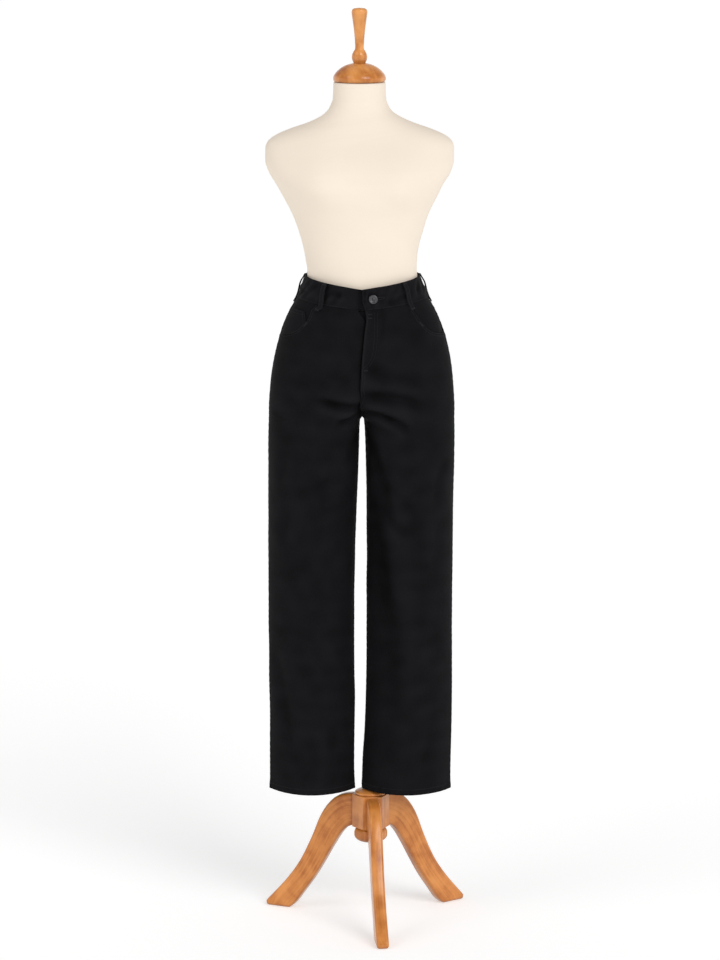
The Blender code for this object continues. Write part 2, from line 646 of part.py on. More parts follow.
def make_back_pockets():
    """Back patch pockets, pointed at the foot."""
    down = np.linspace(0.0, 1.0, PATCH_ROWS)[:, None]
    out = np.linspace(-1.0, 1.0, PATCH_COLUMNS)[None, :]
    height = PATCH_TOP + (PATCH_FOOT + PATCH_POINT * np.abs(out) - PATCH_TOP) * down
    half = PATCH_TOP_HALF + (PATCH_FOOT_HALF - PATCH_TOP_HALF) * down
    for side, word in ((RIGHT, "right"), (LEFT, "left")):
        across = across_at(side, BACK, side * (PATCH_PLACE + half * out), height)
        outer = surface_point(side, BACK, across, height, PATCH_LIFT + PATCH_THICK)
        inner = surface_point(side, BACK, across, height, PATCH_LIFT)
        wall("back_pocket_" + word, outer, inner, DENIM_EDGE)


def make_fly_shield():
    """Strip behind the opening of the fly."""
    rows = np.linspace(SHIELD_FOOT, WAIST_SEAM - GAP, SHIELD_GRID)
    height = np.repeat(rows[:, None], SHIELD_GRID, axis=1)
    place = np.repeat(np.linspace(SHIELD_FROM, SHIELD_TO, SHIELD_GRID)[None, :], SHIELD_GRID, axis=0)
    outer = centre_point(place, height, -SHIELD_DROP)
    inner = centre_point(place, height, -SHIELD_DROP - SHIELD_THICK)
    wall("fly_shield", outer, inner, DENIM)


def band_columns():
    """Where the waistband's columns stand: side, face and across, from the lap round to the right end."""
    columns = [(LEFT, FRONT, across) for across in COLUMNS[::-1]]
    columns += [(LEFT, BACK, across) for across in COLUMNS[1:]]
    columns += [(RIGHT, BACK, across) for across in COLUMNS[::-1][1:]]
    columns += [(RIGHT, FRONT, across) for across in COLUMNS[1:BAND_RIGHT_END]]
    return columns


def make_waistband():
    """One strip round the waist, its left end over its right end."""
    rows = np.array([WAIST_SEAM + SEAM_HALF, *(WAIST_SEAM + row for row in BAND_ROWS), WAIST_TOP])
    grids = []
    for lift in (BAND_PROUD, BAND_PROUD - BAND_THICK):
        columns = [surface_point(side, face, across, rows, lift) for side, face, across in band_columns()]
        for place in np.linspace(-BAND_LAP_RAMP, BAND_LAP, BAND_LAP_COLUMNS):
            drop = BAND_LAP_DROP * smooth_step(-BAND_LAP_RAMP, BAND_LAP_FULL, place)
            columns.append(centre_point(place, rows, lift - drop))
        grids.append(np.stack(columns, axis=1))
    wall("waistband", grids[0], grids[1], DENIM_EDGE)


def make_loops():
    """Five straps that stand off the waistband between their sewn ends."""
    part = np.linspace(0.0, 1.0, LOOP_ROWS)
    height = WAIST_SEAM - LOOP_BELOW + (WAIST_TOP - WAIST_SEAM + LOOP_BELOW) * part
    for loop in LOOPS:
        across = loop.across + loop.lean * (1.0 - part)
        stand = BAND_PROUD + GAP + LOOP_STAND * np.clip(np.sin(math.pi * part), 0.0, 1.0) ** LOOP_FULLNESS
        middle = surface_point(loop.side, loop.face, across, height)
        normal = surface_normal(loop.side, loop.face, across, height)
        way = np.cross(normal, np.gradient(middle, axis=0))
        way = way / np.linalg.norm(way, axis=-1, keepdims=True)
        grids = []
        for lift in (stand + LOOP_THICK, stand):
            centre = middle + normal * lift[:, None]
            columns = [centre + way * (LOOP_WIDTH * place) for place in (-0.5, 0.0, 0.5)]
            grids.append(np.stack(columns, axis=1))
        wall(loop.name, grids[0], grids[1], DENIM_EDGE)


def turned(name, profile, place, material, steps=TURNED_SIDES, ring=False):
    """Turned piece: a profile, top first, spun about an upright axis. A ring's profile is closed."""
    mesh = bpy.data.meshes.new(name)
    points = [(turn.radius, 0.0, turn.height) for turn in profile]
    edges = [(i, i + 1) for i in range(len(points) - 1)]
    if ring:
        edges.append((len(points) - 1, 0))
    mesh.from_pydata(points, edges, [])
    piece = add_object(name, mesh, material)
    piece.location = (place, 0.0, 0.0)
    screw = piece.modifiers.new("turn", "SCREW")
    screw.steps = steps
    screw.render_steps = steps
    screw.use_merge_vertices = True
    screw.merge_threshold = MERGE
    screw.use_smooth_shade = True
    return piece


def make_button():
    """Shank button of dark metal: a dished face in a raised ring."""
    across = float(across_at(LEFT, FRONT, BUTTON_PLACE, BUTTON_HEIGHT))
    seat = surface_point(LEFT, FRONT, across, BUTTON_HEIGHT, BAND_PROUD + GAP)
    way = Vector(surface_normal(LEFT, FRONT, across, BUTTON_HEIGHT))
    piece = turned("button", BUTTON, 0.0, GUNMETAL, steps=BUTTON_SIDES)
    piece.location = Vector(seat)
    piece.rotation_mode = "QUATERNION"
    piece.rotation_quaternion = way.to_track_quat("Z", "Y")


def form_ring(row, inset=0.0):
    """One horizontal ring of the dress form."""
    turns = np.linspace(0.0, 2.0 * math.pi, FORM_SIDES, endpoint=False)
    power = 2.0 / FORM_SQUARENESS
    across = np.sign(np.cos(turns)) * np.abs(np.cos(turns)) ** power
    deep = np.sign(np.sin(turns)) * np.abs(np.sin(turns)) ** power
    depth = np.where(deep < 0.0, row.front, row.back) - inset
    return np.stack([row.sway + (row.half_width - inset) * across, depth * deep,
                     np.full_like(turns, row.height)], axis=-1)


def make_form():
    """Padded body, smooth and limbless, with a rounded flat base inside the trousers."""
    rings = [form_ring(FORM[0]._replace(height=FORM_FOOT + edge.above), edge.inset) for edge in FORM_EDGE]
    rings += [form_ring(row) for row in FORM]
    body = bmesh.new()
    loops = [[body.verts.new(point) for point in ring] for ring in rings]
    for low, high in zip(loops, loops[1:]):
        for i in range(FORM_SIDES):
            j = (i + 1) % FORM_SIDES
            body.faces.new((low[i], low[j], high[j], high[i]))
    body.faces.new(loops[0][::-1])
    body.faces.new(loops[-1])
    bmesh.ops.recalc_face_normals(body, faces=body.faces)
    mesh = bpy.data.meshes.new("form_body")
    body.to_mesh(mesh)
    body.free()
    mesh.shade_smooth()
    mesh.set_sharp_from_angle(angle=FORM_SHARP)
    add_object("form_body", mesh, JERSEY)
    turned("neck_cap", CAP, NECK_PLACE, WOOD, steps=CAP_SIDES)
    turned("finial", FINIAL, NECK_PLACE, WOOD, steps=FINIAL_SIDES)


def leg_outline():
    """Closed outline of a cabriole leg in its own plane: reach and height."""
    heights = np.concatenate([np.linspace(*LEG_OUTER_CURVE), LEG_OUTER_TOP])
    outer = [(float(smooth_read(LEG_OUTER, "reach", height)), float(height)) for height in heights]
    rows = tuple(reversed(LEG_INNER))
    heights = np.concatenate([LEG_INNER_TOP, np.linspace(*LEG_INNER_CURVE)])
    inner = [(float(smooth_read(rows, "reach", height)), float(height)) for height in heights]
    return [(LEG_OUTER[0].reach, 0.0)] + outer + inner + [(LEG_INNER[-1].reach, 0.0)]


def make_leg(name, yaw):
    """One leg: its outline as a filled flat curve with thickness, then rounded edges."""
    outline = leg_outline()
    curve = bpy.data.curves.new(name, "CURVE")
    curve.dimensions = "2D"
    curve.fill_mode = "BOTH"
    curve.extrude = 0.5 * LEG_THICK
    spline = curve.splines.new("POLY")
    spline.points.add(len(outline) - 1)
    for point, (reach, height) in zip(spline.points, outline):
        point.co = (reach, height, 0.0, 1.0)
    spline.use_cyclic_u = True
    guide = bpy.data.objects.new(name + "_curve", curve)
    bpy.context.scene.collection.objects.link(guide)
    bpy.context.view_layer.update()
    mesh = bpy.data.meshes.new_from_object(guide.evaluated_get(bpy.context.evaluated_depsgraph_get()))
    bpy.data.objects.remove(guide)
    solid = bmesh.new()
    solid.from_mesh(mesh)
    bmesh.ops.remove_doubles(solid, verts=solid.verts, dist=LEG_WELD)
    bmesh.ops.dissolve_limit(solid, angle_limit=LEG_FLAT, verts=solid.verts, edges=solid.edges)
    solid.to_mesh(mesh)
    solid.free()
    piece = add_object(name, mesh, WOOD)
    piece.rotation_euler = (0.5 * math.pi, 0.0, yaw - 0.5 * math.pi)
    piece.location = (POLE_PLACE, 0.0, 0.0)
    bevel = piece.modifiers.new("round", "BEVEL")
    bevel.width = LEG_ROUND
    bevel.segments = 1
    bevel.limit_method = "ANGLE"
    bevel.angle_limit = LEG_SHARP


def make_stand():
    """Pole inside the left leg, and the wooden tripod under it."""
    turned("base_plate", PLATE, POLE_PLACE, WOOD)
    pole_top = PLATE[-1].height - GAP
    pole_foot = HUB_TOP + GAP
    bpy.ops.mesh.primitive_cylinder_add(vertices=POLE_SIDES, radius=POLE_RADIUS, depth=pole_top - pole_foot,
                                        location=(POLE_PLACE, 0.0, 0.5 * (pole_top + pole_foot)))
    adopt("pole", STEEL)
    turned("collar", COLLAR, POLE_PLACE, WOOD, ring=True)
    bpy.ops.mesh.primitive_cylinder_add(vertices=6, radius=HUB_RADIUS, depth=HUB_TOP - HUB_FOOT,
                                        location=(POLE_PLACE, 0.0, 0.5 * (HUB_TOP + HUB_FOOT)),
                                        rotation=(0.0, 0.0, LEG_YAW + math.radians(30.0)))
    hub = adopt("hub", WOOD)
    bevel = hub.modifiers.new("round", "BEVEL")
    bevel.width = HUB_ROUND
    bevel.segments = 1
    turned("bottom_knob", KNOB, POLE_PLACE, WOOD)
    for number, name in enumerate(LEG_NAMES):
        make_leg(name, LEG_YAW - number * math.radians(120.0))


def adopt(name, material):
    """Name the primitive that was just added and take it into the model."""
    piece = bpy.context.object
    piece.name = name
    piece.data.name = name
    piece.data.materials.clear()
    piece.data.materials.append(finish(*material))
    for holder in list(piece.users_collection):
        holder.objects.unlink(piece)
    bpy.data.collections["trousers_on_form"].objects.link(piece)
    return piece


def stand_on_origin(collection):
    """Parent all pieces to one empty and put the middle of their box's underside at the origin."""
    bpy.context.view_layer.update()
    graph = bpy.context.evaluated_depsgraph_get()
    corners = []
    for piece in collection.objects:
        shown = piece.evaluated_get(graph)
        mesh = shown.to_mesh()
        corners += [shown.matrix_world @ vertex.co for vertex in mesh.vertices]
        shown.to_mesh_clear()
    points = np.array([tuple(corner) for corner in corners])
    low, high = points.min(axis=0), points.max(axis=0)
    root = bpy.data.objects.new("trousers_root", None)
    collection.objects.link(root)
    for piece in list(collection.objects):
        if piece is not root:
            piece.parent = root
    root.location = (-0.5 * (low[0] + high[0]), -0.5 * (low[1] + high[1]), -low[2])


def main():
    """Clear the scene and make every piece."""
    for old in list(bpy.data.objects):
        bpy.data.objects.remove(old)
    collection = bpy.data.collections.new("trousers_on_form")
    bpy.context.scene.collection.children.link(collection)
    make_fronts()
    make_backs()
    make_facings()
    make_coin_pocket()
    make_back_pockets()
    make_fly_shield()
    make_waistband()
    make_loops()
    make_button()
    make_form()
    make_stand()
    stand_on_origin(collection)


main()
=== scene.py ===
"""Looks of black high-rise denim trousers on a cream dress form with a wooden tripod stand.

Metres, +Z up, the front faces -Y. The cloth pieces are thin walls on a grid of their own, read from
the same cut as the solids: a point is found from a side, a face, how far across it lies from the side
seam to the inside edge, and its height at the side seam.
"""
import logging
import math
from dataclasses import dataclass
from enum import Enum
from typing import Optional, Sequence

import bmesh
import bpy
import numpy as np
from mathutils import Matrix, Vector
from mathutils.bvhtree import BVHTree


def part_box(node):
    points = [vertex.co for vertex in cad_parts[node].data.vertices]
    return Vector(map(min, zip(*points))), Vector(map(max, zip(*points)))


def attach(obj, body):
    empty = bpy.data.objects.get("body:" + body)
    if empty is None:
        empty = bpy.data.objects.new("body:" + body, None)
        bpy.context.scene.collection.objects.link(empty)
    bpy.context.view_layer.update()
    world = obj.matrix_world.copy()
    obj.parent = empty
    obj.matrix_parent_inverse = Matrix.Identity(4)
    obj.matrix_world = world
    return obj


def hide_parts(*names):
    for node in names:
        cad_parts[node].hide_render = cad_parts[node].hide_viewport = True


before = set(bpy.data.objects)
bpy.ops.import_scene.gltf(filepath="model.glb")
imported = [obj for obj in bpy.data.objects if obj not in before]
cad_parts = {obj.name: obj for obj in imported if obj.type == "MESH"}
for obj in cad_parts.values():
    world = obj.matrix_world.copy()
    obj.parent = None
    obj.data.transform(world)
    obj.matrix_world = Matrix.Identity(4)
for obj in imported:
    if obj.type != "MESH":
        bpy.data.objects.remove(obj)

Grid = np.ndarray
Piece = bpy.types.Object
Tree = bpy.types.NodeTree
Node = bpy.types.Node
Socket = bpy.types.NodeSocket
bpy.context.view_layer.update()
LOG = logging.getLogger("trousers")
BODY = "root"


class Side(Enum):
    """Which half of the trousers, as the sign of X."""
    RIGHT = -1
    LEFT = 1


class Face(Enum):
    """Front or back, as the sign of Y."""
    FRONT = -1
    BACK = 1


WORDS = {Side.RIGHT: "right", Side.LEFT: "left"}


@dataclass(frozen=True)
class Section:
    """A level section through the trousers, named as in the solids' table."""
    height: float
    half_width: float
    sway: float
    front: float
    back: float
    edge: float
    dip: float
    rise: float


@dataclass(frozen=True)
class Slot:
    """Where each leg's inside seam lies at a height."""
    height: float
    right_leg: float
    left_leg: float


@dataclass(frozen=True)
class Point:
    """A row of a short table that gives a place at a height."""
    height: float
    place: float


@dataclass(frozen=True)
class Mouth:
    """How high the front pocket's mouth runs at a place across the panel."""
    across: float
    height: float


@dataclass(frozen=True)
class Crease:
    """A soft trough in the cloth, drawn in the front view, with a low ridge on each side."""
    side: Side
    face: Face
    x_from: float
    z_from: float
    x_to: float
    z_to: float
    width: float
    depth: float
    bow: float = 0.0
    ridge: float = 0.30


@dataclass(frozen=True)
class Turn:
    """One ring of a turned profile."""
    height: float
    radius: float


@dataclass(frozen=True)
class FormSection:
    """A level section through the dress form."""
    height: float
    half_width: float
    sway: float
    front: float
    back: float


@dataclass(frozen=True)
class Loop:
    """Where a belt loop stands and how far it leans."""
    name: str
    side: Side
    face: Face
    across: float
    lean: float


SECTIONS = tuple(Section(*row) for row in (
    (0.272, 0.1843, -0.0028, 0.066, 0.066, 1.7, 0.0, 0.0),
    (0.29, 0.1838, -0.0027, 0.0662, 0.0662, 1.68, 0.0, 0.0),
    (0.454, 0.1844, -0.0014, 0.0705, 0.0715, 1.45, 0.0, 0.0),
    (0.64, 0.1847, -0.0022, 0.077, 0.08, 1.25, 0.0, 0.0),
    (0.825, 0.185, -0.0018, 0.087, 0.091, 1.1, 0.0, 0.0),
    (0.96, 0.1856, -0.0004, 0.0955, 0.102, 1.02, 0.0, 0.0),
    (1.041, 0.185, 0.0002, 0.1015, 0.112, 1.0, 0.0, 0.0),
    (1.09, 0.183, 0.0003, 0.1075, 0.121, 1.0, 0.0, 0.0),
    (1.13, 0.1793, 0.001, 0.1115, 0.124, 1.0, 0.0, 0.0),
    (1.17, 0.1722, 0.0016, 0.1125, 0.1215, 1.0, 0.0006, 0.0003),
    (1.21, 0.162, 0.0018, 0.1105, 0.1145, 1.0, 0.005, 0.0025),
    (1.25, 0.145, 0.002, 0.1065, 0.106, 1.0, 0.0115, 0.006),
    (1.2775, 0.13, 0.0021, 0.103, 0.1005, 1.0, 0.015, 0.008),
    (1.3, 0.1212, 0.002, 0.0995, 0.0965, 1.0, 0.0166, 0.01),
    (1.3215, 0.1134, 0.002, 0.0965, 0.0935, 1.0, 0.018, 0.012),
    (1.34, 0.109, 0.002, 0.0945, 0.0915, 1.0, 0.019, 0.013),
))
SLOT = tuple(Slot(*row) for row in (
    (0.272, -0.0126, 0.0), (0.29, -0.0136, 0.0005), (0.329, -0.0145, 0.002), (0.392, -0.0139, 0.0058),
    (0.454, -0.0138, 0.0088), (0.516, -0.0143, 0.0102), (0.64, -0.0151, 0.011), (0.764, -0.0133, 0.011),
    (0.886, -0.0088, 0.0104), (0.978, -0.0054, 0.0084), (1.008, -0.0042, 0.0072),
    (1.033, -0.0026, 0.0048), (1.038, -0.0015, 0.0036), (1.04, -0.0006, 0.0026),
    (1.041, 0.00065, 0.00095),
))
FRONT_SEAM = tuple(Point(*row) for row in (
    (1.041, 0.0008), (1.055, -0.0006), (1.075, -0.0016), (1.114, -0.0004), (1.156, 0.0012),
    (1.198, 0.0048), (1.2195, 0.0069), (1.2475, 0.01), (1.2625, 0.008), (1.275, 0.0042), (1.285, 0.003),
    (1.3035, 0.0022),
))
POCKET_MOUTH = tuple(Mouth(*row) for row in (
    (0.0, 1.2078), (0.08, 1.2086), (0.16, 1.2108), (0.229, 1.215), (0.28, 1.2222), (0.311, 1.2328),
    (0.341, 1.2463), (0.3625, 1.265), (0.369, 1.2772),
))
R, L, F, B = Side.RIGHT, Side.LEFT, Face.FRONT, Face.BACK
CREASES = tuple(Crease(*row) for row in (
    (R, F, -0.002, 1.068, -0.092, 1.087, 0.0078, 0.0078, 0.004, 0.46),
    (R, F, -0.003, 1.057, -0.05, 1.036, 0.006, 0.0066, 0.003, 0.42),
    (L, F, 0.004, 1.092, 0.128, 1.068, 0.0115, 0.0088, 0.007, 0.42),
    (L, F, 0.004, 1.06, 0.064, 1.042, 0.0066, 0.0072, 0.004, 0.44),
    (L, F, 0.05, 1.048, 0.096, 1.016, 0.0075, 0.006, 0.004, 0.42),
    (L, F, 0.01, 0.985, 0.06, 0.83, 0.012, 0.0042, 0.006, 0.3),
    (L, F, 0.026, 0.88, 0.056, 0.64, 0.017, 0.005, -0.006, 0.25),
    (L, F, 0.03, 0.76, 0.062, 0.43, 0.02, 0.0046, 0.01, 0.25),
    (L, F, 0.06, 0.9, 0.118, 0.828, 0.01, 0.0022, 0.005),
    (L, F, 0.04, 0.858, 0.096, 0.806, 0.0095, 0.0026, -0.004),
    (R, F, -0.06, 0.925, -0.112, 0.9, 0.0095, 0.0022, 0.004),
    (R, F, -0.03, 0.868, -0.086, 0.848, 0.0085, 0.0022, -0.004),
    (R, F, -0.172, 0.56, -0.142, 0.35, 0.012, 0.0036, 0.004, 0.45),
    (R, B, -0.006, 1.046, -0.08, 1.004, 0.008, 0.005, -0.005, 0.4),
    (L, B, 0.006, 1.046, 0.092, 0.996, 0.008, 0.005, -0.004, 0.4),
    (L, B, 0.12, 0.7, 0.085, 0.43, 0.015, 0.0046, 0.004, 0.4),
    (R, B, -0.06, 0.76, -0.096, 0.5, 0.015, 0.0046, -0.004, 0.4),
    (R, F, -0.012, 1.126, -0.076, 1.136, 0.011, 0.0034, 0.003),
    (L, F, 0.016, 1.156, 0.052, 1.11, 0.015, 0.0052, 0.004),
    (L, F, 0.06, 1.128, 0.124, 1.116, 0.011, 0.003, 0.003),
    (R, F, -0.1, 1.05, -0.15, 1.092, 0.012, 0.003, 0.003),
    (L, F, 0.01, 1.022, 0.036, 0.93, 0.007, 0.0024, 0.003),
    (R, F, -0.008, 1.018, -0.024, 0.945, 0.006, 0.0018, -0.002),
    (R, F, -0.15, 0.975, -0.166, 0.905, 0.008, 0.0024, 0.002, 0.5),
    (R, F, -0.148, 0.86, -0.16, 0.78, 0.0085, 0.0022, 0.003, 0.5),
    (R, F, -0.07, 0.93, -0.094, 0.78, 0.014, 0.0018, 0.003),
    (L, F, 0.16, 0.95, 0.15, 0.86, 0.0085, 0.0026, -0.003, 0.5),
    (L, F, 0.152, 0.84, 0.14, 0.7, 0.01, 0.002, 0.003, 0.45),
    (L, F, 0.11, 0.9, 0.12, 0.72, 0.014, 0.0018, -0.003),
    (L, F, 0.14, 0.43, 0.12, 0.3, 0.011, 0.002, 0.002),
    (R, F, -0.052, 0.42, -0.06, 0.29, 0.012, 0.002, -0.002),
    (R, F, -0.1, 0.38, -0.094, 0.28, 0.013, 0.0016, 0.002),
    (R, B, -0.01, 1.02, -0.064, 0.95, 0.007, 0.0026, 0.004),
    (L, B, 0.01, 1.024, 0.056, 0.96, 0.0065, 0.0024, -0.003),
    (R, B, -0.01, 1.092, -0.075, 1.06, 0.008, 0.002, 0.003),
    (L, B, 0.01, 1.096, 0.068, 1.068, 0.0085, 0.002, -0.003),
    (R, B, -0.15, 0.7, -0.05, 0.662, 0.009, 0.002, 0.004),
    (L, B, 0.155, 0.69, 0.062, 0.668, 0.0085, 0.0018, -0.003),
    (R, B, -0.15, 0.42, -0.13, 0.29, 0.012, 0.0022, 0.003),
    (L, B, 0.06, 0.4, 0.072, 0.29, 0.012, 0.002, -0.003),
))
LOOPS = tuple(Loop(*row) for row in (
    ("belt_loop_front_right", R, F, 0.410, 0.012),
    ("belt_loop_front_left", L, F, 0.365, 0.004),
    ("belt_loop_side_right", R, B, 0.060, 0.0),
    ("belt_loop_side_left", L, B, 0.060, 0.0),
    ("belt_loop_back", R, B, 0.9985, 0.0),
))
FORM = tuple(FormSection(*row) for row in (
    (1.105, 0.16, 0.0003, 0.09, 0.102), (1.13, 0.168, 0.0008, 0.0985, 0.112),
    (1.17, 0.16, 0.0014, 0.0995, 0.1105), (1.21, 0.149, 0.0016, 0.0975, 0.106),
    (1.245, 0.136, 0.0018, 0.0945, 0.101), (1.275, 0.124, 0.0019, 0.0915, 0.0965),
    (1.3, 0.115, 0.0018, 0.0885, 0.0905), (1.318, 0.1094, 0.0015, 0.0872, 0.0885),
    (1.334, 0.1087, 0.0008, 0.0872, 0.0875), (1.3464, 0.11, 0.0, 0.088, 0.0875),
    (1.3704, 0.1132, -0.001, 0.091, 0.088), (1.4062, 0.1225, -0.0012, 0.0975, 0.09),
    (1.442, 0.1347, -0.0022, 0.1055, 0.0935), (1.4778, 0.1524, -0.0028, 0.112, 0.0965),
    (1.5016, 0.1651, -0.0035, 0.113, 0.097), (1.5254, 0.1795, -0.0035, 0.109, 0.096),
    (1.5491, 0.1867, -0.0038, 0.1, 0.093), (1.5728, 0.1866, -0.0036, 0.087, 0.088),
    (1.5847, 0.1834, -0.003, 0.08, 0.0845), (1.5965, 0.171, -0.0024, 0.074, 0.08),
    (1.6103, 0.1411, -0.002, 0.067, 0.0745), (1.6222, 0.1065, -0.0018, 0.062, 0.069),
    (1.634, 0.0805, -0.0024, 0.058, 0.064), (1.6458, 0.0642, -0.0038, 0.055, 0.059),
    (1.6576, 0.057, -0.0042, 0.053, 0.055), (1.67, 0.0528, -0.004, 0.0515, 0.053),
    (1.703, 0.0515, -0.004, 0.051, 0.0515),
))


def smooth_step(low: float, high: float, value: Grid) -> Grid:
    """A smooth ramp from 0 at low to 1 at high."""
    part = np.clip((np.asarray(value, dtype=float) - low) / (high - low), 0.0, 1.0)
    return part * part * (3.0 - 2.0 * part)


def bell(value: Grid, width: float) -> Grid:
    """A soft bump that is 1 at 0 and fades over width."""
    return np.exp(-(np.asarray(value) / width) ** 2)


def smooth_read(table: Sequence, name: str, at: Grid, key: str = "height") -> Grid:
    """Value of a table's column on a smooth curve that never overshoots its rows.

    Args:
        table: Rows with the two columns, key ascending.
        name: The column to read.
        at: Where to read it.
        key: The column that at is measured in.

    Returns:
        The values, in the shape of at.
    """
    knots = np.array([getattr(row, key) for row in table])
    values = np.array([getattr(row, name) for row in table])
    steps = np.diff(knots)
    slopes = np.diff(values) / steps
    tangents = np.empty_like(values)
    tangents[0], tangents[-1] = slopes[0], slopes[-1]
    before, after = slopes[:-1], slopes[1:]
    weight_before = 2.0 * steps[1:] + steps[:-1]
    weight_after = steps[1:] + 2.0 * steps[:-1]
    same_way = before * after > 0.0
    safe_before = np.where(same_way, before, 1.0)
    safe_after = np.where(same_way, after, 1.0)
    mean = (weight_before + weight_after) / (weight_before / safe_before + weight_after / safe_after)
    tangents[1:-1] = np.where(same_way, mean, 0.0)
    place = np.clip(np.asarray(at, dtype=float), knots[0], knots[-1])
    index = np.clip(np.searchsorted(knots, place, side="right") - 1, 0, len(steps) - 1)
    step = steps[index]
    part = (place - knots[index]) / step
    rest = 1.0 - part
    return ((1.0 + 2.0 * part) * rest ** 2 * values[index] + part * rest ** 2 * step * tangents[index]
            + part ** 2 * (3.0 - 2.0 * part) * values[index + 1]
            - part ** 2 * rest * step * tangents[index + 1])


def mouth_height(across: Grid) -> Grid:
    """How high the front pocket's mouth runs."""
    return smooth_read(POCKET_MOUTH, "height", across, key="across")


def seam_place(height: Grid) -> Grid:
    """X of the seam between the two fronts."""
    return smooth_read(FRONT_SEAM, "place", height)


def side_place(sign: Grid, height: Grid) -> Grid:
    """X of the side seam on the half that has this sign."""
    return smooth_read(SECTIONS, "sway", height) + sign * smooth_read(SECTIONS, "half_width", height)


def soft_noise(along: Grid, up: Grid, seed: int, longest: float, shortest: float) -> Grid:
    """Uneven low swells from a few seeded waves, about -1 to 1.

    Args:
        along, up: Places on the cloth in metres.
        seed: Which swells.
        longest, shortest: Range of their wavelengths in metres.
    """
    dice = np.random.default_rng(seed)
    total = np.zeros(np.broadcast(along, up).shape)
    count = 14
    for _ in range(count):
        turn, phase = dice.uniform(0.0, 2.0 * math.pi, 2)
        wave = 2.0 * math.pi / math.exp(dice.uniform(math.log(shortest), math.log(longest)))
        total = total + np.sin(wave * (math.cos(turn) * along + math.sin(turn) * up) + phase)
    return total / math.sqrt(count)


def unit(ways: Grid) -> Grid:
    """Directions of length 1."""
    return ways / np.linalg.norm(ways, axis=-1, keepdims=True)


def arc_lengths(points: Grid, axis: int) -> Grid:
    """Length along a grid's lines up to each point."""
    steps = np.linalg.norm(np.diff(points, axis=axis), axis=-1)
    pad = [(0, 0)] * steps.ndim
    pad[axis] = (1, 0)
    return np.cumsum(np.pad(steps, pad), axis=axis)


